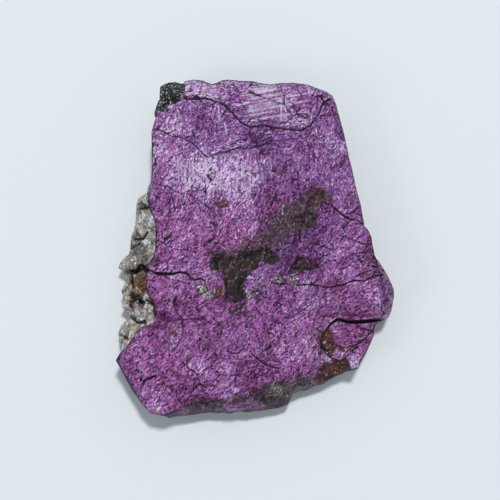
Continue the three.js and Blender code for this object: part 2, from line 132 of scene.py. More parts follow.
# The looks: the usual sum of the patterns of the tone and painted light (the grain's tone, a
# painted sheen and painted shade in the hollows), how metallic and how rough the purple is, bare
# and under a crust, how far its flakes and the rim's crystals lean, and the strength and the
# depths in millimetres of their bumps
TONE_AND_LIGHT_MIDDLE = 2.88
METALLIC = (0.6, 0.0)
ROUGHNESS = (0.34, 0.6)
FLAKE_LEAN = 0.65
CRYSTAL_LEAN = 0.8
BUMP_STRENGTH = 0.7
FLAKE_BUMP = 0.06
CRYSTAL_BUMP = 0.1

# The stage, in metres: lamp places and widths, the share of the side lamp, and the floor's reach
KEY_PLACE = (0.015, 0.06, 0.4)
KEY_WIDTH = 0.03
SIDE_PLACE = (-0.25, -0.15, 0.3)
SIDE_WIDTH = 0.12
SIDE_SHARE = 0.15
FLOOR_REACH = 0.6

# The face's edge and the girth: [edge x, edge y, girth x, girth y, girth z]
SOUTH = np.array([
    [-12.4, -20.1, -12.4, -20.3, 6.8],
    [-10.8, -20.4, -10.8, -20.6, 6.5],
    [-9.4, -19.7, -9.4, -20.4, 5.4],
    [-8.2, -19.0, -8.2, -20.35, 5.0],
    [-7.0, -18.2, -7.0, -20.25, 4.8],
    [-5.5, -18.3, -5.5, -20.15, 4.6],
    [-3.5, -18.9, -3.5, -20.05, 5.0],
    [-2.0, -18.7, -2.0, -20.0, 5.2],
    [-0.8, -18.2, -0.8, -20.0, 5.0],
    [0.2, -17.3, 0.4, -19.85, 4.6],
    [2.0, -16.8, 2.4, -19.6, 4.4],
    [3.2, -16.6, 3.9, -19.1, 4.6],
    [4.4, -17.0, 4.6, -17.8, 5.0],
    [5.4, -16.1, 5.9, -17.4, 4.8],
    [7.2, -15.8, 7.4, -16.9, 4.8],
    [8.4, -15.9, 8.6, -16.6, 4.6],
    [9.8, -15.4, 9.9, -15.8, 4.8],
    [11.0, -14.9, 11.1, -15.15, 5.4],
    [12.1, -14.8, 12.1, -14.95, 6.0],
])
EAST = np.array([
    [12.1, -14.8, 12.1, -14.95, 6.0],
    [12.9, -13.2, 13.1, -13.3, 5.6],
    [13.7, -11.8, 13.9, -11.9, 5.2],
    [14.1, -10.8, 14.3, -10.8, 4.8],
    [14.2, -9.6, 14.6, -9.6, 4.4],
    [14.9, -8.7, 16.5, -8.5, 4.0],
    [15.5, -7.8, 16.9, -7.5, 4.2],
    [15.4, -6.4, 17.2, -6.0, 4.4],
    [15.2, -5.0, 17.2, -4.9, 4.4],
    [14.9, -3.8, 16.5, -3.5, 4.6],
    [14.6, -2.4, 15.5, -2.0, 4.8],
    [14.3, -1.2, 14.6, -1.1, 5.4],
    [14.0, 0.3, 14.2, 0.3, 6.0],
    [13.9, 1.1, 14.1, 1.1, 6.2],
    [13.5, 1.8, 13.7, 1.9, 6.4],
    [13.0, 2.4, 13.2, 2.5, 6.4],
    [12.65, 5.0, 12.8, 5.0, 6.6],
    [12.1, 7.0, 12.25, 7.0, 6.6],
    [11.5, 10.0, 11.65, 10.0, 6.6],
    [10.9, 13.0, 11.05, 13.0, 6.6],
    [10.3, 15.4, 10.45, 15.4, 6.6],
    [9.8, 17.3, 9.95, 17.3, 6.6],
    [9.4, 18.2, 9.55, 18.35, 6.6],
])
NORTH = np.array([
    [-11.7, 19.7, -11.85, 19.8, 6.4],
    [-11.0, 20.1, -11.1, 20.3, 6.2],
    [-9.8, 20.15, -9.8, 20.4, 6.0],
    [-8.7, 20.0, -8.7, 20.3, 6.0],
    [-7.5, 20.2, -7.5, 20.4, 6.2],
    [-6.5, 20.05, -6.5, 20.2, 6.4],
    [-5.9, 19.8, -5.9, 19.95, 6.4],
    [-5.35, 19.6, -5.35, 19.8, 6.2],
    [-4.8, 19.8, -4.8, 20.0, 6.2],
    [-4.2, 20.1, -4.2, 20.3, 6.2],
    [-3.3, 20.2, -3.3, 20.4, 6.4],
    [-2.0, 20.1, -2.0, 20.3, 6.4],
    [-0.5, 20.1, -0.5, 20.3, 6.4],
    [0.8, 19.8, 0.8, 20.0, 6.4],
    [1.6, 19.75, 1.6, 19.95, 6.4],
    [3.0, 19.9, 3.0, 20.1, 6.4],
    [4.5, 19.95, 4.5, 20.15, 6.4],
    [6.3, 19.7, 6.4, 19.9, 6.4],
    [7.6, 19.2, 7.7, 19.4, 6.4],
    [8.6, 18.8, 8.75, 18.95, 6.4],
    [9.4, 18.2, 9.55, 18.35, 6.6],
])
WEST = np.array([
    [-12.4, -20.1, -12.4, -20.3, 6.8],
    [-13.4, -19.1, -13.55, -19.2, 6.8],
    [-14.9, -16.5, -15.05, -16.6, 6.8],
    [-16.3, -14.4, -16.45, -14.45, 6.6],
    [-16.6, -13.9, -16.75, -13.9, 6.4],
    [-16.2, -13.1, -16.3, -13.1, 6.0],
    [-15.3, -12.2, -15.5, -12.2, 5.6],
    [-14.8, -11.4, -15.0, -11.4, 5.6],
    [-13.9, -10.2, -14.2, -10.2, 5.6],
    [-12.8, -9.4, -13.4, -9.4, 5.4],
    [-12.0, -8.6, -12.9, -8.6, 5.4],
    [-12.1, -7.2, -12.6, -7.2, 5.4],
    [-12.8, -6.0, -13.1, -6.0, 5.6],
    [-13.1, -5.2, -13.3, -5.2, 5.6],
    [-13.05, -3.7, -13.3, -3.7, 5.6],
    [-13.05, -2.6, -13.3, -2.6, 5.6],
    [-12.4, -1.6, -12.7, -1.6, 5.6],
    [-12.0, -0.6, -12.3, -0.6, 5.6],
    [-12.0, 1.5, -12.3, 1.5, 5.6],
    [-12.1, 2.6, -12.4, 2.6, 5.8],
    [-12.6, 3.9, -12.8, 3.9, 6.0],
    [-13.0, 5.2, -13.1, 5.2, 6.2],
    [-12.85, 6.5, -12.95, 6.5, 6.4],
    [-12.65, 8.0, -12.75, 8.0, 6.6],
    [-12.6, 10.0, -12.7, 10.0, 6.6],
    [-12.65, 12.0, -12.75, 12.0, 6.6],
    [-12.7, 13.8, -12.8, 13.8, 6.6],
    [-12.4, 14.9, -12.5, 14.9, 6.4],
    [-12.1, 15.7, -12.25, 15.7, 6.2],
    [-12.35, 16.5, -12.5, 16.5, 6.2],
    [-12.0, 17.4, -12.15, 17.4, 6.2],
    [-11.7, 18.2, -11.85, 18.2, 6.2],
    [-11.75, 19.0, -11.9, 19.0, 6.2],
    [-11.7, 19.7, -11.85, 19.8, 6.4],
])

# Raised and sunken parts of the face: how far each lifts, how wide its step is, and its outline
PLATES = {
    "above the long crack": (0.18, 0.5, [
        (-15, 14.4), (-12.6, 14.2), (-10.5, 13.4), (-8.5, 12.7), (-6.2, 10.9), (-4.5, 11.1),
        (-2, 11.9), (0, 12), (1.8, 12.6), (5, 13), (6.7, 14.2), (12, 19), (10, 23), (-15, 23),
    ]),
    "top flake": (0.4, 0.45, [
        (-8.7, 18), (-6.5, 17.75), (-5, 17.5), (-4, 17.25), (-3.3, 16.6), (-2.6, 15.6), (-2, 14.9),
        (-1, 14.4), (1, 14.4), (4, 14.1), (6.3, 14.2), (7.2, 15.5), (8.1, 17.2), (9.3, 18),
        (11, 23), (-8.8, 23),
    ]),
    "dark corner": (-0.75, 0.5, [
        (-14, 23), (-14, 16.4), (-11.5, 16.5), (-10.8, 17), (-9.6, 17.6), (-8.75, 18), (-8.9, 23),
    ]),
    "right shoulder": (0.25, 0.5, [
        (8, 5.15), (9.65, 4.3), (10.6, 3.7), (11.9, 2.9), (13, 2.4), (16, 2.4), (14, 12), (8.6, 9),
    ]),
    "right flake": (0.4, 0.5, [
        (8.5, -5.3), (10, -5.1), (11.3, -4.5), (14.6, -3.5), (18, -3), (18, -8.8), (14.3, -9.05),
        (12.3, -9.25), (9.6, -8.9), (8.6, -7.8), (8.2, -6.6),
    ]),
    "low wedge": (-0.6, 0.4, [
        (9.6, -8.9), (12.3, -9.25), (14.3, -9.05), (18, -8.8), (18, -20), (7, -20), (7.7, -12),
        (8.5, -10),
    ]),
    "rusty slope": (-1.5, 1.8, [(7.4, -14.6), (9.6, -13.9), (11.2, -14.8), (12, -19), (6, -19)]),
    "valley": (-0.45, 2.2, [
        (9.2, 7.6), (6.2, 6.6), (3.2, 3.4), (0, -0.6), (-5.4, -1.2), (-5.2, -3.6), (-3.8, -7.6),
        (0.4, -6.4), (1, -3.6), (7.8, -3.1), (7.6, -0.6), (8.6, 3.4),
    ]),
    "main hollow": (-0.6, 0.5, [
        (-5, -1.6), (-1.5, -1.5), (0.2, -0.7), (1.2, -0.4), (2.2, -1.5), (1, -2.3), (-0.5, -3.1),
        (-1.8, -4.3), (-2.1, -5.2), (-1.2, -6.5), (-2.6, -7), (-3.5, -6.4), (-3.6, -4.6),
        (-4.4, -3.5),
    ]),
    "upper hollow": (-0.45, 0.6, [
        (4.3, 3.1), (5.8, 3.8), (6.4, 5.4), (7.9, 6.8), (8.3, 6.1), (7.7, 3.9), (6.4, 2.4),
    ]),
    "right hollow": (-0.6, 0.5, [
        (4.2, -2.8), (5, -1.5), (6.4, -1.5), (7.4, -2.6), (6.6, -2.95), (5, -2.8),
    ]),
    "left pocket": (-1.1, 1.3, [
        (-13.4, -8.3), (-10.9, -8.4), (-9.9, -9.2), (-10.7, -10), (-13.4, -9.8),
    ]),
}

# Cracks in the face: how many widths out the V and the dark along it end, how much wider the
# dark is, and how dark the narrowest is. Then for each how wide and deep it is at the start, the
# share left at the end, and the line.
CRACK_END = 1.1
DARK_END = 1.25
DARK_WIDER = 1.15
DARK_LEAST = 0.6
CRACKS = {
    "round the top flake": (0.13, 0.25, 0.8, [
        (-8.8, 17.85), (-8.05, 17.7), (-6.85, 17.85), (-6.2, 17.7), (-5.25, 17.55), (-4.15, 17.2),
        (-3.5, 16.7), (-2.9, 15.95), (-2.25, 15.35), (-1.8, 14.75), (-0.8, 14.3), (1.0, 14.5),
        (1.75, 14.3), (3.0, 14.15), (4.2, 14.05), (5.4, 14.05), (6.1, 14.2), (6.6, 14.5),
        (7.1, 15.25), (7.7, 16.1), (7.95, 17.0), (8.3, 17.45), (9.05, 17.9),
    ]),
    "long, across the top": (0.12, 0.2, 0.7, [
        (-12.5, 14.05), (-11.4, 13.85), (-10.6, 13.5), (-9.95, 13.1), (-9.2, 13.1), (-8.4, 12.75),
        (-7.65, 12.25), (-6.8, 11.45), (-6.2, 10.85), (-5.85, 10.6), (-5.1, 10.9), (-4.35, 11.15),
        (-3.15, 11.4), (-2.05, 11.7), (-0.85, 11.7), (0.75, 12.1), (1.7, 12.6), (2.95, 12.7),
        (4.15, 12.85), (5.35, 13.0), (6.1, 13.25), (6.6, 13.55),
    ]),
    "short, above the long one": (0.09, 0.12, 0.5, [
        (0.5, 13.5), (1.6, 13.45), (2.2, 13.15), (2.95, 13.1),
    ]),
    "from the left edge": (0.11, 0.18, 0.6, [
        (-12.5, 7.3), (-11.05, 7.2), (-10.45, 7.0), (-10.1, 6.65), (-9.1, 6.25), (-8.3, 6.1),
        (-7.6, 5.8), (-6.75, 5.3), (-6.05, 4.7),
    ]),
    "short, left of the middle": (0.09, 0.12, 0.5, [
        (-7.5, 9.05), (-7.0, 8.7), (-6.45, 7.9), (-6.2, 7.55),
    ]),
    "faint, left": (0.1, 0.12, 0.6, [
        (-11.0, 0), (-10.3, -0.35), (-9.2, -0.65), (-8.4, -0.7), (-7.3, -1.0), (-6.7, -1.05),
    ]),
    "open, left": (0.27, 1.6, 0.3, [
        (-14.0, -2.55), (-12.9, -3.15), (-12.4, -3.45), (-11.2, -3.6), (-10.25, -3.55),
        (-9.05, -3.35), (-8.35, -3.4), (-7.85, -3.9), (-7.3, -4.3), (-6.65, -4.15), (-6.1, -4.5),
    ]),
    "thin, under the open one": (0.09, 0.15, 0.6, [
        (-10.95, -3.75), (-10.25, -4.15), (-9.3, -4.4), (-8.55, -4.65), (-7.5, -4.65), (-7.2, -4.35),
    ]),
    "right, under the shoulder": (0.1, 0.35, 1.4, [
        (8.2, 5.1), (8.9, 4.9), (9.4, 4.55), (10.1, 3.9), (10.95, 3.4), (11.55, 3.05), (12.5, 2.85),
        (13.2, 2.4),
    ]),
    "right, at the bend": (0.09, 0.2, 1.2, [
        (10.05, 1.15), (10.9, 1.0), (11.85, 0.55), (12.7, 0.15), (14.2, 0.05),
    ]),
    "right, a branch down": (0.09, 0.12, 0.6, [(13.5, -0.1), (12.4, -1.15)]),
    "right, a short arc": (0.09, 0.15, 0.6, [(13.4, -1.4), (12.7, -1.6), (12.1, -2.0), (11.1, -2.6)]),
    "right, across the block": (0.12, 0.35, 1.3, [
        (5.0, -4.95), (6.15, -4.85), (7.1, -4.9), (8.05, -5.05), (8.9, -5.2), (9.85, -4.95),
        (10.45, -4.85), (11.15, -4.55), (11.9, -4.35), (13.0, -4.3), (13.55, -4.0), (14.3, -3.8),
        (15.2, -3.7),
    ]),
    "right, a thin one above": (0.09, 0.12, 1.0, [(11.9, -3.8), (13.4, -3.2), (14.8, -2.5)]),
    "right, a thin one below": (0.09, 0.1, 0.7, [(8.05, -5.85), (8.15, -6.45), (8.3, -7.15)]),
    "open, right": (0.28, 1.5, 0.2, [
        (16.4, -8.9), (15.2, -8.95), (14.1, -9.05), (13.15, -9.15), (12.1, -9.3), (11.1, -9.25),
        (10.5, -9.15), (9.7, -9.0), (9.1, -9.35), (8.6, -9.9), (8.1, -10.5), (7.7, -11.2),
        (7.65, -11.95), (8.1, -12.5), (8.7, -13.1), (9.1, -13.8),
    ]),
    "leading into the open one": (0.09, 0.12, 1.0, [(7.6, -8.65), (9.45, -8.75)]),
    "low, middle": (0.14, 0.22, 0.8, [
        (-0.5, -13.1), (0.2, -13.7), (1.1, -14.3), (2.0, -14.65), (2.8, -14.8),
    ]),
    "low, left of the middle": (0.14, 0.2, 0.8, [
        (-3.5, -12.75), (-2.7, -13.0), (-2.05, -12.95), (-1.45, -12.4),
    ]),
    "low, rising": (0.09, 0.1, 0.8, [(0.8, -12.0), (1.1, -10.5)]),
    "low, upright": (0.09, 0.1, 0.8, [(-8.5, -12.0), (-8.1, -12.9), (-8.0, -15.7)]),
    "low, short upright": (0.09, 0.1, 0.8, [(-6.4, -11.0), (-6.1, -12.1)]),
    "at the foot": (0.09, 0.12, 0.8, [(-2.6, -17.8), (-1.0, -17.4)]),
    "under the chip's upper plate": (0.13, 0.3, 0.6, [
        (14.1, -10.1), (13.2, -11.1), (12.1, -11.9), (10.8, -12.3), (9.4, -12.0), (8.6, -11.6),
    ]),
    "under the chip's lower plates": (0.11, 0.25, 0.8, [
        (7.7, -12.1), (8.2, -13.0), (8.7, -13.4), (9.9, -13.9), (10.9, -14.9), (11.9, -15.1),
    ]),
    "between the chip's lower plates": (0.1, 0.2, 0.8, [
        (12.2, -12.1), (11.2, -12.9), (10.7, -13.4), (10.9, -14.6),
    ]),
}

# Patches of colour on the face: how strong, how soft the edge is in millimetres, and the outline
OXIDE = [
    (1.5, 0.6, [(4.1, 2.9), (5.4, 3.2), (6.3, 3.9), (6.5, 5.2), (6.9, 4.4), (7.1, 3.7), (6.6, 2.3)]),
    (0.5, 1.6, [
        (7.4, 6.2), (6.2, 5.4), (5.2, 4.4), (3.4, 3.6), (1.4, 3.0), (3, 2.6), (5.2, 3), (7.2, 4.4),
    ]),
    (0.55, 0.8, [(2.6, 0.6), (4.4, 1.6), (6.0, 2.4), (5.2, 0.8), (3.4, -0.2)]),
    (0.8, 0.8, [(0.4, -17.6), (3.6, -16.5), (7.2, -15.6), (6.8, -17.4), (3.2, -18.8)]),
    (0.8, 0.9, [(-3.6, -7.6), (-1.6, -7.2), (-0.8, -8.4), (-2.6, -9.2)]),
    (0.8, 0.78, [(3, 0.5), (4, 0.6), (5, 1.0), (4, 1.1)]),
    (1.3, 1.1, [
        (-5, -1.55), (-3.4, -1.3), (-2, -1.5), (-0.3, -1.05), (0.95, -0.2), (2.4, -1.1),
        (2.25, -1.9), (0.45, -2.3), (-0.3, -2.65), (-1.2, -3.6), (-1.6, -4.3), (-1.7, -5.4),
        (-0.1, -6.0), (-1.95, -6.6), (-2.9, -7.5), (-3.5, -6.2), (-3.4, -4.7), (-3.5, -4.0),
        (-4, -3.4), (-5, -3.0),
    ]),
    (1.5, 0.6, [(4.05, -2.75), (5, -1.4), (6.4, -1.8), (7.25, -2.5), (6.9, -3.0), (5.5, -2.9)]),
    (0.6, 0.78, [(3.3, -3.2), (3.0, -3.7), (1.05, -4.2), (1.1, -3.8)]),
    (0.7, 0.65, [(4.3, -3.5), (4.8, -3.5), (4.7, -3.9), (4.3, -3.9)]),
    (0.8, 0.52, [(4.3, 18.45), (4.65, 18.4), (4.6, 18.1), (4.3, 18.15)]),
    (0.8, 0.52, [(2.3, 17.1), (2.75, 17.05), (2.7, 16.8), (2.35, 16.8)]),
    (0.7, 0.78, [(9.2, 9.5), (9.8, 9.4), (9.7, 9.1), (9.3, 9.0)]),
    (0.7, 1.1, [(-5.1, -8.4), (-3.4, -8.6), (-3.6, -10.3), (-4.9, -10.1)]),
    (0.9, 0.8, [(0.4, -17.5), (2.1, -17.7), (3.7, -18.0), (3.4, -19.1), (1.5, -19.3), (0.4, -18.5)]),
    (0.8, 0.9, [(-8.6, -18.9), (-5.6, -18.3), (-3.0, -18.9), (-3.6, -19.8), (-8.2, -19.9)]),
    (0.75, 0.78, [(-5.7, -5.7), (-5.0, -5.8), (-5.0, -6.7), (-5.5, -6.6)]),
]
DULL = [
    (0.62, 2.0, [
        (9.0, 8.2), (6.0, 6.6), (3.2, 4.6), (0.6, 2.4), (-2.0, 0.2), (-5.6, -0.8), (-5.2, -3.6),
        (-1.0, -3.0), (2.6, -0.6), (5.0, 1.2), (7.6, 2.8), (9.6, 5.8),
    ]),
    (0.4, 1.5, [
        (-2.5, -4.5), (0.5, -3.6), (4.6, -4.0), (8.0, -5.4), (7.6, -6.6), (3.0, -6.0), (-1.5, -7.5),
    ]),
    (0.45, 1.5, [(7.0, -8.2), (10.5, -8.8), (8.6, -10.4), (8.4, -13.4), (6.0, -13.6), (5.6, -10.6)]),
    (0.4, 1.4, [(-6.0, -8.0), (-3.0, -8.2), (-3.2, -10.8), (-5.8, -10.4)]),
    (0.35, 1.2, [(6.0, 14.2), (8.4, 16.6), (7.2, 18.2), (5.4, 16.2)]),
    (0.6, 1.4, [
        (-7.0, -18.0), (-3.0, -17.6), (2.0, -16.4), (7.0, -14.8), (7.6, -16.4), (2.0, -19.0),
        (-7.0, -19.8),
    ]),
    (0.3, 1.6, [(-10.6, -8.4), (-8.6, -8.6), (-6.4, -13.0), (-8.0, -17.0), (-9.4, -13.0)]),
    (0.3, 1.4, [(-4.2, 2.4), (-0.6, 3.6), (2.0, 6.8), (0.2, 7.4), (-3.6, 4.4)]),
    (0.35, 1.2, [(-5.8, 3.6), (-3.2, 4.4), (-3.2, 6.2), (-5.6, 5.8)]),
]
RUST = [
    (0.65, 0.6, [(-5.5, -5.0), (-4.1, -4.9), (-3.9, -6.4), (-5.3, -6.8)]),
    (0.6, 0.8, [(-10.8, -9.6), (-9.2, -9.8), (-8.8, -11.6), (-10.2, -11.4)]),
    (0.6, 0.6, [(-5.2, 4.4), (-3.5, 4.8), (-3.3, 5.8), (-4.9, 5.6)]),
    (0.95, 0.8, [
        (8.7, -13.5), (10.4, -13.6), (11.2, -14.9), (10.7, -15.8), (8.8, -16.9), (6.9, -17.2),
        (7.8, -15.2),
    ]),
    (0.7, 0.7, [
        (9.0, -9.0), (7.6, -10.4), (7.3, -12.1), (8.6, -13.8), (9.6, -12.7), (8.9, -11.6),
        (9.3, -10.1),
    ]),
    (0.7, 0.5, [
        (9.0, -11.9), (10.8, -12.1), (12.4, -11.6), (12.2, -12.3), (10.8, -12.8), (9.2, -12.6),
    ]),
    (0.45, 0.5, [(10, -12.2), (11.7, -12.1), (11.5, -13), (10.2, -13)]),
    (0.3, 0.9, [(-5.5, 4.2), (-3.5, 4.8), (-3.6, 5.8), (-5.4, 5.4)]),
    (0.7, 0.2, [(-11.7, 1.1), (-11.3, 1.1), (-11.3, 0.7), (-11.7, 0.7)]),
    (0.6, 0.3, [(-9.8, -10.9), (-9.0, -11.0), (-9.1, -11.4), (-9.7, -11.3)]),
    (0.35, 0.8, [(9.0, -8.7), (12.5, -9.6), (10.5, -11.5), (8.6, -11.0)]),
    (0.4, 0.6, [(-4.3, -1.2), (-1.0, -0.9), (-1.2, -2.2), (-4.2, -2.4)]),
    (0.45, 0.6, [(6.8, 6.9), (8.4, 7.3), (8.5, 5.5), (7.3, 4.5)]),
]
PALE = [
    (0.5, 0.5, [(-10.4, 19.8), (-9.4, 19.8), (-9.2, 18.9), (-10.2, 18.8)]),
    (1.1, 0.4, [
        (0.1, -5.3), (0.8, -4.65), (1.65, -4.15), (2.85, -4.2), (4.0, -4.4), (4.9, -4.0),
        (4.9, -4.25), (4.0, -4.65), (2.85, -4.5), (1.65, -4.4), (0.8, -5.0),
    ]),
    (0.5, 0.4, [(-7, -4.8), (-6.3, -4.9), (-6.2, -5.8), (-6.9, -5.6)]),
    (0.7, 0.2, [(-7.3, -10.4), (-6.4, -10.4), (-6.4, -10.6), (-7.3, -10.65)]),
    (0.5, 0.2, [(-3.6, -10.6), (-3.2, -10.6), (-3.2, -11.0), (-3.6, -11.0)]),
    (0.8, 0.15, [(1.45, -8.7), (1.75, -8.7), (1.7, -8.95), (1.5, -8.95)]),
    (0.7, 0.2, [(1.0, -10.3), (1.3, -10.3), (1.3, -10.55), (1.0, -10.5)]),
    (0.5, 0.3, [(0, -19.3), (1.6, -19.2), (1.6, -19.7), (0, -19.8)]),
    (0.62, 0.9, [(-7.6, -4.4), (-6.2, -4.5), (-5.2, -5.6), (-5.6, -6.6), (-7.0, -6.2)]),
    (0.58, 0.9, [(1.6, 2.4), (3.4, 3.4), (4.6, 5.2), (3.6, 5.4), (2.4, 4.2)]),
    (0.6, 0.9, [(-2.2, -6.0), (0.2, -5.2), (0.8, -6.0), (-1.0, -7.4)]),
    (0.45, 0.8, [(0.6, -16.9), (3.2, -16.2), (7.4, -15.8), (6.6, -17.2), (3.2, -18.4), (1.0, -18.2)]),
    (0.65, 0.5, [(1.8, -16.9), (3.0, -16.9), (3.3, -17.4), (2.7, -17.8), (1.9, -17.5)]),
]
CORNER = [(1.0, 0.3, [
    (-14, 23), (-14, 16.4), (-11.8, 16.4), (-11.0, 16.65), (-10.3, 17.2), (-9.5, 17.4),
    (-8.6, 18.0), (-8.9, 18.6), (-8.85, 19.4), (-8.9, 23),
])]

# Pale scratches: how wide they are, the share of the length over which an end fades, how far the
# ones of a set stray, and their starts, ends and strengths. Then sets of like ones: start, end,
# step, how many, and strength.
SCRATCH_WIDTH = 0.12
SCRATCH_END = 0.125
SCRATCH_STRAY = 0.4
SCRATCHES = [
    ((-6.1, 10.5), (-6.05, 7.9), 1.0),
    ((-8.55, 9.4), (-8.45, 4.6), 0.7),
    ((-4.6, 17.1), (-4.4, 15.1), 0.6),
    ((3.0, 18.0), (3.1, 15.0), 0.5),
    ((3.5, 18.3), (3.6, 16.0), 0.5),
    ((-3.9, 15.2), (-3.5, 13.2), 0.5),
    ((-0.7, 18.4), (2.7, 19.15), 0.9),
    ((-2.5, 16.9), (-0.7, 17.3), 0.9),
    ((-0.75, 15.0), (1.5, 15.4), 0.8),
    ((0.5, 15.3), (6.0, 16.2), 0.5),
    ((1.5, 16.6), (6.8, 17.7), 0.5),
    ((2.5, 17.9), (7.6, 18.7), 0.45),
]
SCRATCH_SETS = [
    ((-9.6, 10.5), (-9.5, 7.5), (0.7, -0.1), 7, 0.35),
    ((-3.2, 8.4), (-3.0, 5.6), (0.8, 0.35), 7, 0.3),
    ((-1.8, 15.6), (2.8, 16.5), (0.15, 0.33), 9, 0.4),
    ((-2.2, 18.0), (1.2, 18.6), (0.3, 0.28), 5, 0.4),
]

# Blocks of the face, each with its own grain: middle, direction in degrees, how far its purple
# leans from violet (0) to magenta (1), and how bright its painted sheen is (0 dull, 1 bright): a
# painted highlight that lightens the purple towards lilac and white. The blend is how far a
# block's tint carries before it has faded to a third.
BLOCK_BLEND = 1 / 0.95
BLOCKS = np.array([
    [-6.5, 19.0, 10, 0.5, 0.9],
    [0.0, 17.5, 12, 0.4, 0.65],
    [5.0, 16.5, 15, 0.5, 0.62],
    [8.6, 15.5, 70, 0.5, 0.4],
    [-6.5, 15.5, 75, 0.2, 0.45],
    [-10.5, 15.0, 65, 0.45, 0.6],
    [-10.5, 11.0, 60, 0.35, 0.85],
    [-3.0, 13.5, 20, 0.1, 0.45],
    [3.0, 13.4, 25, 0.3, 0.45],
    [-6.5, 9.0, 65, 0.2, 1.1],
    [-2.0, 9.0, 70, 0.2, 0.7],
    [2.5, 9.5, 72, 0.35, 0.5],
    [7.0, 10.5, 75, 0.4, 0.35],
    [9.8, 9.5, 70, 0.45, 0.25],
    [-9.8, 5.0, 65, 0.75, 0.4],
    [-3.5, 4.5, 68, 0.8, 0.35],
    [1.5, 5.0, 70, 0.55, 0.4],
    [-9.0, 1.0, 60, 0.85, 0.45],
    [-2.0, 1.0, 55, 0.75, 0.6],
    [4.5, 2.0, 60, 0.2, 0.1],
    [3.4, -2.0, 60, 0.2, 0.0],
    [10.0, 6.5, 65, 0.5, 0.3],
    [11.5, 1.5, 45, 0.6, 0.42],
    [10.0, -2.0, 45, 0.6, 0.4],
    [-9.5, -6.0, 50, 0.7, 0.5],
    [1.5, -3.0, 50, 0.5, 0.45],
    [3.5, -7.0, 52, 0.5, 0.55],
    [15.0, -2.2, 45, 0.8, 0.0],
    [11.5, -6.8, 32, 0.8, 0.42],
    [-13.0, -13.0, 50, 0.85, 0.5],
    [-8.0, -13.0, 55, 0.75, 0.5],
    [-10.5, -18.0, 45, 0.9, 0.45],
    [-2.0, -11.0, 55, 0.65, 0.5],
    [-3.0, -16.0, 48, 0.75, 0.45],
    [3.5, -12.5, 52, 0.7, 0.5],
    [11.5, -10.3, 20, 0.75, 0.5],
    [11.4, -13.9, 60, 0.9, 1.0],
    [5.5, -15.0, 45, 0.7, 0.4],
])

# Flakes of the cleavage, splinters of the ledges and crystal faces of the rim: height, length,
# width and the key of their pattern
CLEAVAGE = [(0.2, 3.2, 1.3, 11.0), (0.06, 0.9, 0.4, 23.0), (0.05, 0.4, 0.22, 37.0)]
SPLINTERS = [(1.5, 1.3, 0.8, 57.0), (0.6, 0.5, 0.35, 59.0)]
CRYSTALS = [(1.1, 1.1, 1.1, 51.0), (0.55, 0.45, 0.45, 61.0), (0.16, 0.2, 0.2, 67.0)]
PORE_DEPTH = 0.07
RIDGE_HEIGHT = 0.05

# Broken faces of the walls and of the rim's side: how far out, how wide, how tall, and key
WALL_BREAKS = [(1.7, 3.0, 2.4, 43.0), (0.7, 1.2, 0.7, 44.0)]
RIM_BREAKS = [(1.9, 1.8, 1.3, 71.0), (0.6, 0.7, 0.5, 73.0)]

# Hairline cracks: the size of the cells whose borders they are, the key, and how wide they are.
# They show only where broad lumps rise past a level.
HAIR_CRACKS = [(4.6, 81.0, 0.085), (2.2, 91.0, 0.055)]
HAIR_LUMPS = 2.6
HAIR_LEVEL = 0.52

# The rim, crossed from its outer line to a line inside the purple: [x, y] to [x, y]
RIM = np.array([
    [-12.7, 8.7, -11.9, 9.0],
    [-13.2, 7.9, -11.7, 8.1],
    [-13.45, 7.4, -11.7, 7.5],
    [-13.4, 6.8, -11.7, 6.9],
    [-14.45, 6.2, -11.8, 6.3],
    [-14.8, 5.3, -11.9, 5.4],
    [-14.65, 4.0, -11.7, 4.1],
    [-14.8, 3.3, -11.4, 3.3],
    [-15.05, 2.1, -11.2, 2.1],
    [-15.5, 1.1, -11.1, 1.1],
    [-15.4, 0.2, -11.1, 0.2],
    [-15.65, -0.6, -11.2, -0.7],
    [-16.6, -1.8, -11.5, -1.6],
    [-16.9, -2.3, -11.9, -2.3],
    [-16.0, -3.2, -12.0, -3.2],
    [-16.0, -4.0, -12.0, -4.1],
    [-16.5, -5.3, -11.9, -5.3],
    [-16.1, -6.4, -11.6, -6.2],
    [-16.5, -7.2, -11.3, -7.0],
    [-15.5, -7.9, -11.0, -7.8],
    [-15.3, -8.5, -11.4, -8.9],
    [-16.0, -9.0, -12.4, -9.9],
    [-16.5, -9.6, -13.0, -10.6],
    [-16.8, -10.5, -13.7, -11.3],
    [-16.5, -11.4, -14.1, -12.0],
    [-16.3, -12.3, -14.7, -12.7],
    [-16.4, -13.2, -15.2, -13.4],
    [-16.2, -13.8, -15.6, -14.0],
])

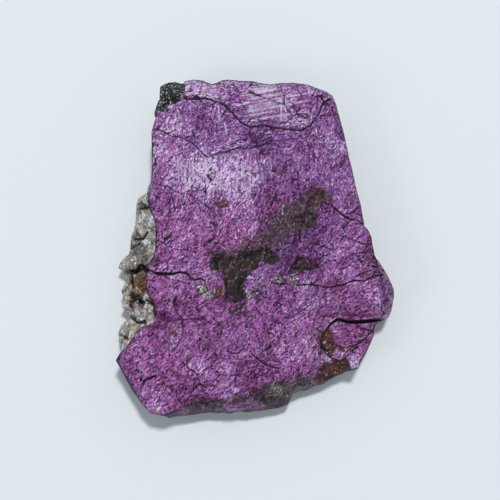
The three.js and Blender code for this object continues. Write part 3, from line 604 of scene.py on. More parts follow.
# Lumps on the rim: how many faces cut each, then middle, reach, how far the top rises, and colour
LUMP_FACES = 5
LUMPS = [
    (-13.1, 7.8, 0.9, 0.5, "b4b4b6"),
    (-14.0, 5.8, 1.2, 1.2, "bebec3"),
    (-13.9, 4.3, 1.2, 0.7, "9fa5ab"),
    (-13.0, 2.9, 1.1, 0.6, "a6a8b0"),
    (-14.5, 2.4, 1.0, 1.0, "d8d3c8"),
    (-15.1, 0.8, 0.7, 0.7, "7f7673"),
    (-12.9, 1.2, 0.9, 0.4, "a8aaac"),
    (-13.9, -0.4, 1.5, 0.9, "76706d"),
    (-15.2, -1.4, 1.2, 0.9, "7f7a77"),
    (-16.4, -2.1, 0.8, 0.8, "d2d0ca"),
    (-15.6, -3.6, 0.9, 0.6, "97969a"),
    (-14.2, -4.5, 1.3, 0.2, "6e4a2c"),
    (-15.9, -5.0, 1.0, 0.8, "e0d8c8"),
    (-15.7, -6.9, 1.0, 0.7, "d3c6b0"),
    (-14.0, -6.4, 0.9, 0.1, "4b3a30"),
    (-13.4, -8.0, 1.3, 0.9, "bcbcbd"),
    (-15.3, -9.9, 1.4, 1.1, "b9b1a8"),
    (-16.1, -11.4, 0.8, 0.8, "c6c0b2"),
    (-16.1, -12.8, 0.6, 0.5, "aaa49a"),
]

# Gaps between the lumps: width, depth and line
GAPS = [
    (0.3, 0.7, [(-14.9, 4.85), (-14.2, 4.9), (-13.5, 4.75), (-12.9, 4.6)]),
    (0.3, 0.9, [(-15.4, 0.95), (-14.8, 1.2), (-14.2, 1.0), (-13.6, 0.95), (-13.1, 1.5)]),
    (0.34, 0.8, [(-15.7, -0.6), (-15.0, -0.05), (-14.2, 0.35)]),
    (0.4, 1.3, [(-13.0, -2.9), (-13.6, -2.5), (-14.3, -3.0), (-15.1, -3.0), (-16.1, -3.1)]),
    (0.35, 0.8, [(-15.2, -2.8), (-14.9, -3.9), (-14.8, -4.9)]),
    (0.5, 1.0, [(-13.6, -6.9), (-14.2, -6.3), (-14.7, -6.2)]),
    (0.3, 0.7, [(-12.2, -7.2), (-12.8, -6.7), (-13.2, -6.6)]),
    (0.3, 0.9, [(-15.6, -7.9), (-14.9, -8.5), (-14.2, -9.3), (-13.2, -9.2)]),
    (0.32, 0.8, [(-16.7, -10.7), (-15.9, -10.8), (-15.2, -11.3)]),
]

# Stains on the rim: strength, softness of the edge and outline
RIM_RUST = [
    (0.9, 0.8, [(-14.9, -3.4), (-13.1, -3.5), (-12.9, -5.6), (-13.6, -6.2), (-14.6, -5.6)]),
    (0.6, 0.3, [(-15.4, 1.2), (-14.5, 1.35), (-14.4, 0.8), (-15.4, 0.6)]),
    (0.5, 0.3, [(-14.8, 2.7), (-13.7, 2.6), (-13.6, 2.2), (-14.7, 2.2)]),
    (0.6, 0.4, [(-13.4, -0.9), (-12.6, -0.9), (-12.6, -1.7), (-13.3, -1.6)]),
    (0.5, 0.5, [(-15.2, -7.2), (-14.4, -7.0), (-14.9, -8.8), (-15.4, -8.6)]),
    (0.5, 0.4, [(-13.2, -6.5), (-12.4, -6.4), (-12.0, -7.6), (-12.7, -7.3)]),
]
RIM_GRAINS = [(1.0, 0.3, [(-15.9, -5.8), (-14.8, -5.7), (-14.5, -6.9), (-14.9, -7.9), (-15.9, -7.6)])]
RIM_DARK = [
    (0.5, 0.9, [(-14.4, 0.9), (-12.6, 0.4), (-12.5, -1.8), (-14.2, -2.2), (-15.6, -0.9)]),
    (1.0, 0.3, [(-14.6, -6.1), (-13.7, -6.0), (-13.5, -6.9), (-14.3, -7.0)]),
    (0.9, 0.3, [(-13.9, -2.0), (-12.9, -2.3), (-13.0, -3.4), (-13.7, -3.3)]),
    (0.7, 0.4, [(-14.9, 4.95), (-13.2, 4.9), (-13.0, 4.4), (-14.8, 4.4)]),
]


# Shapes

def smooth(t):
    """The cubic step: 0 below 0, 1 above 1, three t squared less two t cubed between."""
    s = np.clip(t, 0.0, 1.0)
    return s * s * (3.0 - 2.0 * s)


def corner_value(*corner):
    """A fixed number from 0 to 1 for a lattice corner: the fraction of a large, fast sine."""
    wave = np.sin(sum(speed * v for speed, v in zip(SINE_SPEEDS, corner))) * SINE_SIZE
    return wave - np.floor(wave)


def lumpy(x, y, z):
    """Smooth lumps from 0 to 1: lattice corner values blended by the cubic step on each axis."""
    x, y, z = np.broadcast_arrays(np.asarray(x, float), y, z)
    low = [np.floor(v) for v in (x, y, z)]
    share = [smooth(v - f) for v, f in zip((x, y, z), low)]
    total = np.zeros(x.shape)
    for corner in product((0, 1), repeat=3):
        weight = np.ones(x.shape)
        for side, part in zip(corner, share):
            weight = weight * (part if side else 1.0 - part)
        total += weight * corner_value(*(v + side for v, side in zip(low, corner)))
    return total


def layered(x, y, z, layers=3):
    """Lumps within lumps: each layer is half as large and half as strong as the last. On a flat
    surface the third number only picks the pattern, as a key does below."""
    total, strength = 0.0, 0.5
    for n in range(layers):
        scale = 2.0 ** n
        total = total + strength * (lumpy(x * scale + 17 * n, y * scale, z * scale) - 0.5)
        strength *= 0.5
    return total


def bent(x, y, reach, size, keys, layers=3):
    """Places moved about by lumps of one size, by a share of the reach, each way by its own key."""
    return [v + reach * layered(x / size, y / size, key, layers) for v, key in zip((x, y), keys)]


def flakes(x, y, key):
    """Tilted flakes: each point takes the tilt and step of the nearest of a lattice of scattered
    middles, so the height is a plane within each flake and jumps at its edge."""
    low_x, low_y = np.floor(x), np.floor(y)
    nearest = np.full(x.shape, FAR)
    height = np.zeros(x.shape)
    for i, j in product(NEIGHBOURS, repeat=2):
        cx, cy = low_x + i, low_y + j
        dx = x - cx - 0.1 - 0.8 * corner_value(cx, cy, key)
        dy = y - cy - 0.1 - 0.8 * corner_value(cx, cy, key + 1)
        away = dx * dx + dy * dy
        tilt_x, tilt_y, step = (corner_value(cx, cy, key + n) - 0.5 for n in (2, 3, 4))
        plane = tilt_x * dx + tilt_y * dy + 0.5 * step
        closer = away < nearest
        height = np.where(closer, plane, height)
        nearest = np.minimum(nearest, away)
    return height


def facets(x, y, z, key):
    """Broken faces: the greatest of a set of tilted domes, one round each of a lattice of
    scattered middles, which meet along sharp creases. About 0 on average."""
    low = [np.floor(v) for v in (x, y, z)]
    height = np.full(x.shape, -FAR)
    for steps in product(NEIGHBOURS, repeat=3):
        cell = [v + step for v, step in zip(low, steps)]
        away = [v - c - corner_value(*cell, key + n) for n, (v, c) in enumerate(zip((x, y, z), cell))]
        tilts = [corner_value(*cell, key + n) - 0.5 for n in (3, 4, 5)]
        dome = 0.6 * corner_value(*cell, key + 6) - 0.6 * sum(d * d for d in away)
        dome = dome + 1.2 * sum(t * d for t, d in zip(tilts, away))
        height = np.maximum(height, dome)
    return height - 0.45


def flaked(x, y, rows):
    """Flakes of several sizes on top of each other, from rows of height, length, width and key."""
    return sum(height * flakes(x / length, y / width, key) for height, length, width, key in rows)


def broken(x, y, z, rows):
    """Broken faces of several sizes on top of each other, from rows of how far they stand out,
    how wide and how tall they are, and key."""
    return sum(out * facets(x / wide, y / wide, z / tall, key) for out, wide, tall, key in rows)


def cell_borders(x, y, key):
    """Distance to the border of the nearest scattered cell, as half the difference between the
    two nearest middles, and a random value from 0 to 1 for the cell."""
    low_x, low_y = np.floor(x), np.floor(y)
    first = np.full(x.shape, FAR)
    second = np.full(x.shape, FAR)
    value = np.zeros(x.shape)
    for i, j in product(NEIGHBOURS, repeat=2):
        cx, cy = low_x + i, low_y + j
        dx = x - cx - corner_value(cx, cy, key)
        dy = y - cy - corner_value(cx, cy, key + 1)
        away = np.hypot(dx, dy)
        closer = away < first
        second = np.where(closer, first, np.minimum(second, away))
        value = np.where(closer, corner_value(cx, cy, key + 2), value)
        first = np.minimum(first, away)
    return 0.5 * (second - first), value


def line_distance(x, y, line):
    """Distance from each point to a bent line, and how far along the line the nearest place is."""
    line = np.asarray(line, float)
    lengths = np.hypot(*np.diff(line, axis=0).T)
    start = np.concatenate([[0.0], np.cumsum(lengths)]) / lengths.sum()
    nearest = np.full(x.shape, FAR)
    along = np.zeros(x.shape)
    for n, ((ax, ay), (bx, by)) in enumerate(zip(line[:-1], line[1:])):
        dx, dy = bx - ax, by - ay
        t = np.clip(((x - ax) * dx + (y - ay) * dy) / (dx * dx + dy * dy), 0.0, 1.0)
        away = np.hypot(x - ax - t * dx, y - ay - t * dy)
        closer = away < nearest
        along = np.where(closer, start[n] + t * (start[n + 1] - start[n]), along)
        nearest = np.minimum(nearest, away)
    return nearest, along


def depth_inside(x, y, outline):
    """Distance to a closed outline, above 0 inside it and below 0 outside it."""
    closed = [*outline, outline[0]]
    nearest, _ = line_distance(x, y, closed)
    inside = np.zeros(x.shape, bool)
    for (ax, ay), (bx, by) in zip(closed[:-1], closed[1:]):
        if ay != by:
            crosses = (ay > y) != (by > y)
            inside ^= crosses & (x < ax + (bx - ax) * (y - ay) / (by - ay))
    return np.where(inside, nearest, -nearest)


def patches(x, y, listed):
    """How strongly a list of patches covers each point, with ragged soft edges."""
    ragged_x, ragged_y = bent(x, y, reach=2.4, size=0.9, keys=(5.0, 9.0), layers=4)
    cover = np.zeros(x.shape)
    for strength, soft, outline in listed:
        depth = depth_inside(ragged_x, ragged_y, outline)
        cover = np.maximum(cover, strength * smooth(depth / soft + 0.5))
    return cover


def swell(x, y):
    """Broad, shallow waves over the whole face, from three crossed sines."""
    return (
        0.16 * np.sin(0.31 * x + 0.17 * y + 0.6)
        + 0.13 * np.sin(0.23 * y - 0.36 * x + 2.1) * np.cos(0.29 * y - 0.5)
        + 0.07 * np.sin(0.83 * x + 0.47 * y) * np.sin(0.71 * y - 0.39 * x + 1.3)
    )


def block_of(x, y):
    """The number of the nearest block's middle, with the borders bent by lumps."""
    bent_x, bent_y = bent(x, y, reach=1.6, size=2.2, keys=(1.0, 4.0))
    away = (bent_x[..., None] - BLOCKS[:, 0]) ** 2 + (bent_y[..., None] - BLOCKS[:, 1]) ** 2
    return np.argmin(away, axis=-1)


def block_tint(x, y):
    """How magenta the purple is and how much painted sheen lightens it at each point: the values
    of the blocks around it, weighed by how near they are."""
    weights = np.zeros(x.shape)
    total = np.zeros((2, *x.shape))
    for cx, cy, _, magenta, sheen in BLOCKS:
        weight = np.exp(-np.hypot(x - cx, y - cy) / BLOCK_BLEND)
        weights += weight
        total += weight * np.array([magenta, sheen]).reshape(2, *[1] * x.ndim)
    return total / weights


def grain_coordinates(x, y, block):
    """The point's place along and across the grain of its block: x and y turned by its angle."""
    angle = np.radians(BLOCKS[block, 2])
    along = x * np.cos(angle) + y * np.sin(angle)
    across = y * np.cos(angle) - x * np.sin(angle)
    return along, across


def crack_marks(x, y):
    """How deep and how dark the cracks are at each point: a V across each line, which is bent by
    small lumps and thins out along its length."""
    bent_x, bent_y = bent(x, y, reach=0.3, size=0.7, keys=(2.0, 6.0))
    depth = np.zeros(x.shape)
    dark = np.zeros(x.shape)
    for width, deep, left, line in CRACKS.values():
        away, along = line_distance(bent_x, bent_y, line)
        size = 1.0 + (left - 1.0) * along
        near = smooth(CRACK_END - away / (width * size))
        depth = np.maximum(depth, deep * size * near)
        wide = smooth(DARK_END - away / (width * size * DARK_WIDER))
        dark = np.maximum(dark, wide * min(1.0, DARK_LEAST + 2.0 * width))
    return depth, dark


def hair_cracks(x, y):
    """Hairline cracks: the borders between two sizes of scattered cells, bent by lumps, and left
    out where broad lumps are low. Gives their strength and a random value for each cell, which
    moves the painted sheen from cell to cell."""
    bent_x, bent_y = bent(x, y, reach=1.1, size=1.3, keys=(13.0, 14.0))
    strength = np.zeros(x.shape)
    shade = np.zeros(x.shape)
    for size, key, width in HAIR_CRACKS:
        border, value = cell_borders(bent_x / size, bent_y / size, key)
        kept = smooth((lumpy(x / HAIR_LUMPS, y / HAIR_LUMPS, key) - HAIR_LEVEL) / 0.2)
        strength = np.maximum(strength, kept * smooth(1.2 - border * size / width))
        shade = shade + (value - 0.5) * size / 4.2
    return strength, shade


def scratch_marks(x, y):
    """How strong the pale scratches are at each point: thin straight lines that come and go."""
    lines = list(SCRATCHES)
    for start, end, (step_x, step_y), count, strength in SCRATCH_SETS:
        for n in range(count):
            stray = SCRATCH_STRAY * (corner_value(n, start[0], start[1]) - 0.5)
            moved = [(px + n * step_x + stray, py + n * step_y + stray) for px, py in (start, end)]
            lines.append((*moved, strength))
    marks = np.zeros(x.shape)
    for start, end, strength in lines:
        away, along = line_distance(x, y, [start, end])
        fade = smooth(along / SCRATCH_END) * smooth((1.0 - along) / SCRATCH_END)
        marks = np.maximum(marks, strength * fade * smooth(1.3 - away / SCRATCH_WIDTH))
    return marks * (0.9 + 0.9 * lumpy(x / 0.5, y / 0.5, 31.0))


def face_height(x, y):
    """Height of the purple face: its level and swell, and each plate's lift through a soft step."""
    height = FACE_HEIGHT + swell(x, y)
    for lift, step, outline in PLATES.values():
        height = height + lift * smooth(depth_inside(x, y, outline) / step + 0.5)
    return height


def grain_relief(x, y, block, relief):
    """Fine relief of the cleavage: flakes drawn out along the grain in three sizes, small ridges
    and pores."""
    along, across = grain_coordinates(x, y, block)
    pores = PORE_DEPTH * smooth((lumpy(along / 0.34, across / 0.24, 41.0) - 0.7) / 0.14)
    ridges = RIDGE_HEIGHT * (lumpy(along / 0.3, across / 0.19, 47.0) - 0.5)
    return relief * (flaked(along, across, CLEAVAGE) + ridges - pores)


def wall_relief(x, y, z):
    """How far a wall point stands in (below 0) or out: broken blocks, chips and thin layers."""
    thin_layers = layered(x / 0.8, y / 0.8, z / 0.25)
    return broken(x, y, z, WALL_BREAKS) + 0.3 * thin_layers - 0.3


def ledge_relief(x, y):
    """Height of the broken lower layer where it stands out past the face: steps and splinters."""
    return flaked(x, y, SPLINTERS) + layered(x / 1.1, y / 1.1, 15.0)


def underside_height(x, y, inset):
    """Height of the broken underside: flat in the middle, uneven around it, rising to the walls."""
    away = smooth((np.hypot(x - MIDDLE[0], y - MIDDLE[1]) - FLAT_REACH) / FLAT_BLEND)
    hollows = 1.5 * (lumpy(x / 5.5, y / 5.5, 7.0) - 0.35) + 0.4 * (lumpy(x / 1.9, y / 1.9, 3.0) - 0.5)
    rise = FOOT_HEIGHT * (1.0 - smooth(inset / 0.16))
    grain = 0.3 * np.maximum(0.0, layered(x / 0.8, y / 0.8, 8.0))
    return np.maximum(0.0, away * hollows) * smooth(inset / 0.1) + rise + grain * smooth(inset / 0.05)


def spaced(stations, pieces):
    """Points spaced evenly along a row of stations, with every number of a station carried along."""
    reach = np.concatenate([[0.0], np.cumsum(np.hypot(*np.diff(stations[:, :2], axis=0).T))])
    at = np.linspace(0.0, reach[-1], pieces + 1)
    return np.stack([np.interp(at, reach, column) for column in stations.T], axis=1)


def grid_ways(columns, rows):
    """How far across and along a grid its columns and rows lie, from 0 to 1."""
    return np.linspace(0.0, 1.0, columns + 1)[None, :], np.linspace(0.0, 1.0, rows + 1)[:, None]


def grid_inset(columns, rows, width, length):
    """How far inside its edge each point of a grid of this width and length lies."""
    across, along = grid_ways(columns, rows)
    return np.minimum(np.minimum(across, 1 - across) * width, np.minimum(along, 1 - along) * length)


def blended(south, east, north, west):
    """Points inside four edges: the straight blend across plus the one along, less the blend of
    the corners (a Coons patch)."""
    u, v = (way[..., None] for way in grid_ways(len(south) - 1, len(west) - 1))
    return (
        (1 - v) * south[None]
        + v * north[None]
        + (1 - u) * west[:, None]
        + u * east[:, None]
        - (1 - u) * (1 - v) * south[0]
        - u * (1 - v) * south[-1]
        - (1 - u) * v * north[0]
        - u * v * north[-1]
    )


def grid_quads(numbers):
    """The quads of a grid of point numbers, wound anticlockwise."""
    corners = (numbers[:-1, :-1], numbers[:-1, 1:], numbers[1:, 1:], numbers[1:, :-1])
    return np.stack([c.ravel() for c in corners], axis=1)


def once_round(grid):
    """A grid's outermost entries, once round, anticlockwise."""
    return np.concatenate([grid[0, :-1], grid[:-1, -1], grid[-1, :0:-1], grid[:0:-1, 0]])


def ring_quads(above, below):
    """The quads between two rings of point numbers, facing outwards."""
    corners = (above, below, np.roll(below, -1), np.roll(above, -1))
    return np.stack(corners, axis=1)


def face_points(sides, relief):
    """The grid of points of the purple face, a Coons patch raised to the height of its plates less
    its cracks, with fine relief that the dark corner and the oxide change, and a worn edge. Also
    how far each point lies inside the edge."""
    flat = blended(*[side[:, :2] for side in sides])
    x, y = flat[..., 0], flat[..., 1]
    inset = grid_inset(COLUMNS, ROWS, FACE_WIDTH, FACE_LENGTH)
    rounding = EDGE_DROP * (1.0 - np.clip(inset / EDGE_ROUNDING, 0.0, 1.0)) ** 1.6
    crack_depth, _ = crack_marks(x, y)
    hair, _ = hair_cracks(x, y)
    corner = patches(x, y, CORNER)
    oxide = np.minimum(patches(x, y, OXIDE), 1.0)
    rough = corner * (1.3 * layered(x / 1.1, y / 1.1, 12.0) + 0.6 * flakes(x / 0.6, y / 0.6, 19.0))
    rough = rough + oxide * (0.3 * layered(x / 0.5, y / 0.5, 16.0) - 0.08)
    fine = grain_relief(x, y, block_of(x, y), relief) * (1.0 - 0.6 * corner) * (1.0 - 0.5 * oxide)
    top = face_height(x, y) - rounding - crack_depth - 0.08 * hair + rough + fine
    return np.stack([x, y, top], axis=-1), inset


def shelf_reach(stations):
    """How much of a ledge each station has, from 0 to 1: how far its girth stands out."""
    reach = np.hypot(stations[:, 2] - stations[:, 0], stations[:, 3] - stations[:, 1])
    return reach, smooth((reach - 0.35) / 0.8)


def face_shelf(sides):
    """How near each point of the face is to a ledge on the south or east side, from 0 to 1."""
    across, along = grid_ways(COLUMNS, ROWS)
    south, east = (shelf_reach(side)[1] for side in sides[:2])
    by_south = south[None, :] * smooth(1.0 - along * FACE_LENGTH / EDGE_FADE)
    by_east = east[:, None] * smooth(1.0 - (1.0 - across) * FACE_WIDTH / EDGE_FADE)
    return np.maximum(by_south, by_east)


def pushed(x, y, z, share):
    """Wall points moved out from the middle by a share of the relief of the walls."""
    push = share * wall_relief(x, y, z) / np.hypot(x, y)
    return np.stack([x * (1 + push), y * (1 + push), z], axis=1)


def side_ring(stations, edge_top, band):
    """One ring round the stone. The first bands go from the face's edge out to the girth, falling
    with the square of the way, with a broken ledge where the girth stands out. The others go
    from the girth down and a little in to the foot."""
    if band <= SHOULDER_BANDS:
        t = band / SHOULDER_BANDS
        x, y = (stations[:, n] + t * (stations[:, 2 + n] - stations[:, n]) for n in range(2))
        reach, _ = shelf_reach(stations)
        ledge = ledge_relief(x, y) * math.sin(math.pi * t) * np.clip(reach / EDGE_FADE, 0.1, 1.0)
        return pushed(x, y, edge_top + t * t * (stations[:, 4] - edge_top) + ledge, t / 4)
    t = (band - SHOULDER_BANDS) / WALL_BANDS
    share = 1 + t * t * (FOOT_SHARE - 1)
    x, y = (MIDDLE[n] + share * (stations[:, 2 + n] - MIDDLE[n]) for n in range(2))
    z = stations[:, 4] + t * (FOOT_HEIGHT - stations[:, 4])
    return pushed(x, y, z, 0.25 + 0.75 * smooth(3.0 * t))


def underside(foot, foot_numbers, count):
    """The broken underside: a Coons patch between every second point of the foot, and slivers
    that take in the points between them. Gives the new points, the quads and the triangles."""
    half_x, half_y = COLUMNS // 2, ROWS // 2
    corners = np.cumsum([0, half_x, half_y, half_x, half_y])
    ring = np.append(foot[::2, :2], foot[:1, :2], axis=0)
    south, east, north, west = (ring[a : b + 1] for a, b in zip(corners[:-1], corners[1:]))
    under = blended(south, east, north[::-1], west[::-1])
    inset = grid_inset(half_x, half_y, 1.0, 1.0)
    height = underside_height(under[..., 0], under[..., 1], inset)
    inner = (slice(1, -1), slice(1, -1))
    points = np.dstack([under, height])[inner].reshape(-1, 3)
    numbers = np.empty(inset.shape, int)
    numbers[inner] = count + np.arange(len(points)).reshape(half_y - 1, half_x - 1)
    even, odd = foot_numbers[::2], foot_numbers[1::2]
    numbers[0, :-1], numbers[:-1, -1], numbers[-1, :0:-1], numbers[:0:-1, 0] = (
        even[a:b] for a, b in zip(corners[:-1], corners[1:])
    )
    slivers = np.stack([even, np.roll(even, -1), odd], axis=1)
    return points, grid_quads(numbers)[:, ::-1], slivers


def slab_shape(relief):
    """Points, quads, triangles and marks of the slab: the face, rings from its edge over the girth
    to the foot, and the underside."""
    pieces = (COLUMNS, ROWS, COLUMNS, ROWS)
    sides = [spaced(line, n) for line, n in zip((SOUTH, EAST, NORTH, WEST), pieces)]
    south, east, north, west = sides
    face, inset = face_points(sides, relief)
    numbers = np.arange(inset.size).reshape(inset.shape)
    stations = np.concatenate([south[:-1], east[:-1], north[:0:-1], west[:0:-1]])
    above = once_round(numbers)
    edge_top = face.reshape(-1, 3)[above, 2]
    points = [face.reshape(-1, 3)]
    depths = [np.zeros(inset.size)]
    quads = [grid_quads(numbers)]
    count = inset.size
    for band in range(1, SHOULDER_BANDS + WALL_BANDS + 1):
        ring = side_ring(stations, edge_top, band)
        below = count + np.arange(len(ring))
        count += len(ring)
        points.append(ring)
        depths.append(np.clip(edge_top - ring[:, 2], 0.0, None))
        quads.append(ring_quads(above, below))
        above = below
    under, under_quads, slivers = underside(points[-1], above, count)
    points = np.concatenate([*points, under])
    depth = np.concatenate([*depths, np.full(len(under), FACE_HEIGHT)])
    wall_shelf = np.tile(shelf_reach(stations)[1], SHOULDER_BANDS)
    shelf = np.concatenate([face_shelf(sides).ravel(), wall_shelf])
    inset, shelf = (np.pad(v.ravel(), (0, len(points) - v.size)) for v in (inset, shelf))
    marks = slab_marks(points, face.size // 3, depth, inset, shelf)
    return points, np.concatenate([*quads, under_quads]), slivers, marks


def slab_marks(points, face_count, depth, inset, shelf):
    """What each point of the slab shows, as four vectors (crack, oxide, rust), (pale, corner,
    side), (magenta, painted sheen, dark edge band) and (hair crack, scratch, dull), and its place
    in the grain. On the walls and underneath that is its place in space, the height stretched and
    moved away from the heights of the face."""
    x, y, z = points.T
    face = np.arange(len(points)) < face_count
    upper = face | (depth < MARK_DEPTH)
    block = block_of(x, y)
    _, crack = crack_marks(x, y)
    hair, shade = hair_cracks(x, y)
    torn_shelf = np.clip(shelf + 1.6 * shelf * layered(x / 1.1, y / 1.1, z / 1.1, 4), 0.0, 1.0)
    purple = torn_shelf * (0.85 - 0.6 * smooth((depth - 0.6) / 3.0))
    side = np.where(face, 0.0, 1.0 - purple)
    edge = np.where(face, smooth(1.0 - inset / DARK_EDGE_WIDTH), smooth(1.0 - depth / DARK_EDGE_DEPTH))
    edge = edge * (1.0 - 0.85 * shelf)
    stains = [crack * upper, patches(x, y, OXIDE) * upper, patches(x, y, RUST) * upper]
    spots = [patches(x, y, PALE) * upper, patches(x, y, CORNER), side]
    waver = 1.1 * layered(x / 3.0, y / 3.0, 2.0) + 0.5 * layered(x / 0.9, y / 0.9, 3.0)
    magenta, sheen = block_tint(x, y)
    # The second tint is the painted sheen, moved by lumps and by each hairline-crack cell's random
    # value, and weaker off the face
    tint = [magenta + waver, (sheen - 0.6 * waver + 0.35 * shade) * np.where(face, 1.0, 0.4), edge]
    along, across = grain_coordinates(x, y, block)
    moved_z = WALL_STRETCH * z + WALL_SHIFT
    grain = [np.where(face, along, x), np.where(face, across, y), np.where(face, z, moved_z)]
    lines = [hair * face, scratch_marks(x, y) * face, patches(x, y, DULL) * upper]
    named = {"stains": stains, "spots": spots, "tint": tint, "grain": grain, "lines": lines}
    return {name: np.stack(values, axis=1) for name, values in named.items()}


def rim_lumps(x, y):
    """How far the lumps rise at each point, each a dome cut by flat cleavage faces that lean
    different ways, and the colour there, blended between the nearest lumps."""
    bent_x, bent_y = bent(x, y, reach=0.5, size=0.8, keys=(21.0, 24.0))
    rise = np.zeros(x.shape)
    weights = np.zeros(x.shape)
    tone = np.zeros((*x.shape, 3))
    for n, (cx, cy, reach, height, colour) in enumerate(LUMPS):
        dx, dy = (bent_x - cx) / reach, (bent_y - cy) / reach
        away = np.hypot(dx, dy)
        dome = np.sqrt(np.clip(1.0 - away * away, 0.0, None))
        turn = 2.0 * math.pi * corner_value(n, 1.0, 2.0)
        for side in range(LUMP_FACES):
            lean = turn + side * 2.0 * math.pi / LUMP_FACES
            slope = 0.5 + 0.6 * corner_value(n, side, 3.0)
            cut = 0.85 - slope * (dx * np.cos(lean) + dy * np.sin(lean))
            dome = np.minimum(dome, np.clip(cut, 0.0, None))
        rise = np.maximum(rise, height * dome)
        weight = np.exp(-5.0 * away * reach)
        weights += weight
        tone += weight[..., None] * np.array(linear(colour))
    return rise, tone / weights[..., None]


def rim_gaps(x, y):
    """How deep the gaps between the lumps are: a soft V across each line, bent by lumps."""
    bent_x, bent_y = bent(x, y, reach=0.5, size=0.6, keys=(26.0, 27.0))
    depth = np.zeros(x.shape)
    for width, deep, line in GAPS:
        away, _ = line_distance(bent_x, bent_y, line)
        depth = np.maximum(depth, 0.8 * deep * smooth(1.0 - away / (1.3 * width)))
    return depth


def rim_top(x, y, across, relief):
    """Height of the rim's top: a level that rises towards the purple, lumps on it, crystal faces of
    three sizes, broad lumps and the gaps, and a drop at the free edge."""
    rise, _ = rim_lumps(x, y)
    crystals = RIM_GRAIN * relief * flaked(x, y, CRYSTALS)
    level = RIM_OUTER_LEVEL + (RIM_INNER_LEVEL - RIM_OUTER_LEVEL) * smooth(across / RIM_CREST)
    edge = RIM_DROP * (1.0 - smooth((across - RIM_EDGE) / RIM_DROP_SHARE))
    broad = 0.5 * layered(x / 1.3, y / 1.3, 3.0)
    return level + rise + crystals + broad - rim_gaps(x, y) - edge


def rim_section():
    """The way round one ring of the rim, as shares of the way inwards: across the top from the
    free edge, down inside the purple, back under and up the undercut outer side. Also how far up
    each point of the side lies, and the numbers of the points of each part."""
    up = np.linspace(0.0, 1.0, RIM_SIDE_ROWS + 2)[1:-1]
    parts = [
        np.linspace(RIM_EDGE, 1.0, RIM_COLUMNS + 1),
        np.ones(RIM_INSIDE_ROWS),
        np.linspace(0.95, RIM_HEEL, RIM_UNDER_ROWS),
        RIM_EDGE + (RIM_HEEL - RIM_EDGE) * (1 - up) ** RIM_UNDERCUT,
    ]
    across = np.concatenate(parts)
    starts = np.cumsum([len(part) for part in parts[:-1]])
    return across, up, np.split(np.arange(len(across)), starts)


def rim_rings(relief):
    """The rim's rings, one per row, each a section raised to its heights. The broken faces of the
    undercut side stand in and out and sway along the rim."""
    rows = spaced(RIM, RIM_ROWS)
    across, up, (top, inner, under, side) = rim_section()
    out, inside = rows[:, None, :2], rows[:, None, 2:]
    x, y = np.moveaxis(out + across[:, None] * (inside - out), -1, 0)
    free = smooth((0.45 - across) / 0.3)
    wander = 0.4 * layered(x / 0.9, y / 0.9, 4.0) * free
    x, y = x + wander, y + 0.6 * wander
    z = np.zeros(x.shape)
    z[:, top] = rim_top(x[:, top], y[:, top], across[top], relief)
    crest, free_edge = z[:, top[-1:]], z[:, :1]
    z[:, inner] = RIM_UNDER + (crest - RIM_UNDER) * np.linspace(0.8, 0.0, RIM_INSIDE_ROWS)
    z[:, under] = RIM_UNDER + 0.4 * lumpy(x[:, under], y[:, under], 4.0)
    z[:, side] = z[:, under[-1:]] + (free_edge - z[:, under[-1:]]) * up
    breaks = broken(x, y, z, RIM_BREAKS) - 0.4
    sway = RIM_SWAY * layered(x / 2.4, y / 2.4, z / 1.5)
    x[:, side] -= relief * breaks[:, side] * np.sin(math.pi * up) ** 0.5
    y[:, side] += relief * sway[:, side] * np.sin(math.pi * up)
    return np.stack([x, y, z], axis=-1)


def rim_shape(relief):
    """Points, quads, triangles and marks of the rim: its rings joined, and a fan over each end."""
    rings = rim_rings(relief)
    count = rings.size // 3
    points = np.concatenate([rings.reshape(-1, 3), rings[[0, -1]].mean(axis=1)])
    numbers = np.arange(count).reshape(rings.shape[:2])
    closed = np.concatenate([numbers, numbers[:, :1]], axis=1)
    start, stop = closed[0], closed[-1]
    fans = [
        np.stack([start[:-1], start[1:], np.full(len(start) - 1, count)], axis=1),
        np.stack([stop[1:], stop[:-1], np.full(len(stop) - 1, count + 1)], axis=1),
    ]
    return points, grid_quads(closed)[:, ::-1], np.concatenate(fans), rim_marks(points)


def rim_marks(points):
    """What each point of the rim shows: its own tone, the vector (rust, dark, grains) and the vector
    (shade in the gaps, low, nothing), the first being painted shade in the gaps between the lumps.
    Low down the pattern of the top wanders and the gaps close."""
    x, y, z = points.T
    low = smooth((RIM_OUTER_LEVEL - z) / 2.0)
    y = y + 3.0 * low * layered(x / 1.5, y / 1.5, z / 1.2)
    _, tone = rim_lumps(x, y)
    stains = [patches(x, y, listed) for listed in (RIM_RUST, RIM_DARK, RIM_GRAINS)]
    gap_shade = smooth((rim_gaps(x, y) - 0.2) / 0.5) * (1.0 - low)
    gaps = np.stack([gap_shade, low, np.zeros(len(points))], axis=1)
    return {"tone": tone, "stains": np.stack(stains, axis=1), "gaps": gaps}


# Meshes

def middle_of_outline():
    """The middle of the box round the girth and the rim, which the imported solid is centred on."""
    girth = np.concatenate([s[:, 2:4] for s in (SOUTH, EAST, NORTH, WEST)] + [RIM[:, :2]])
    return (girth.min(axis=0) + girth.max(axis=0)) / 2


def in_frame(points):
    """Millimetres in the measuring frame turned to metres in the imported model's frame."""
    shift = np.array([*middle_of_outline(), 0.0])
    return (np.asarray(points, float) - shift) * MM


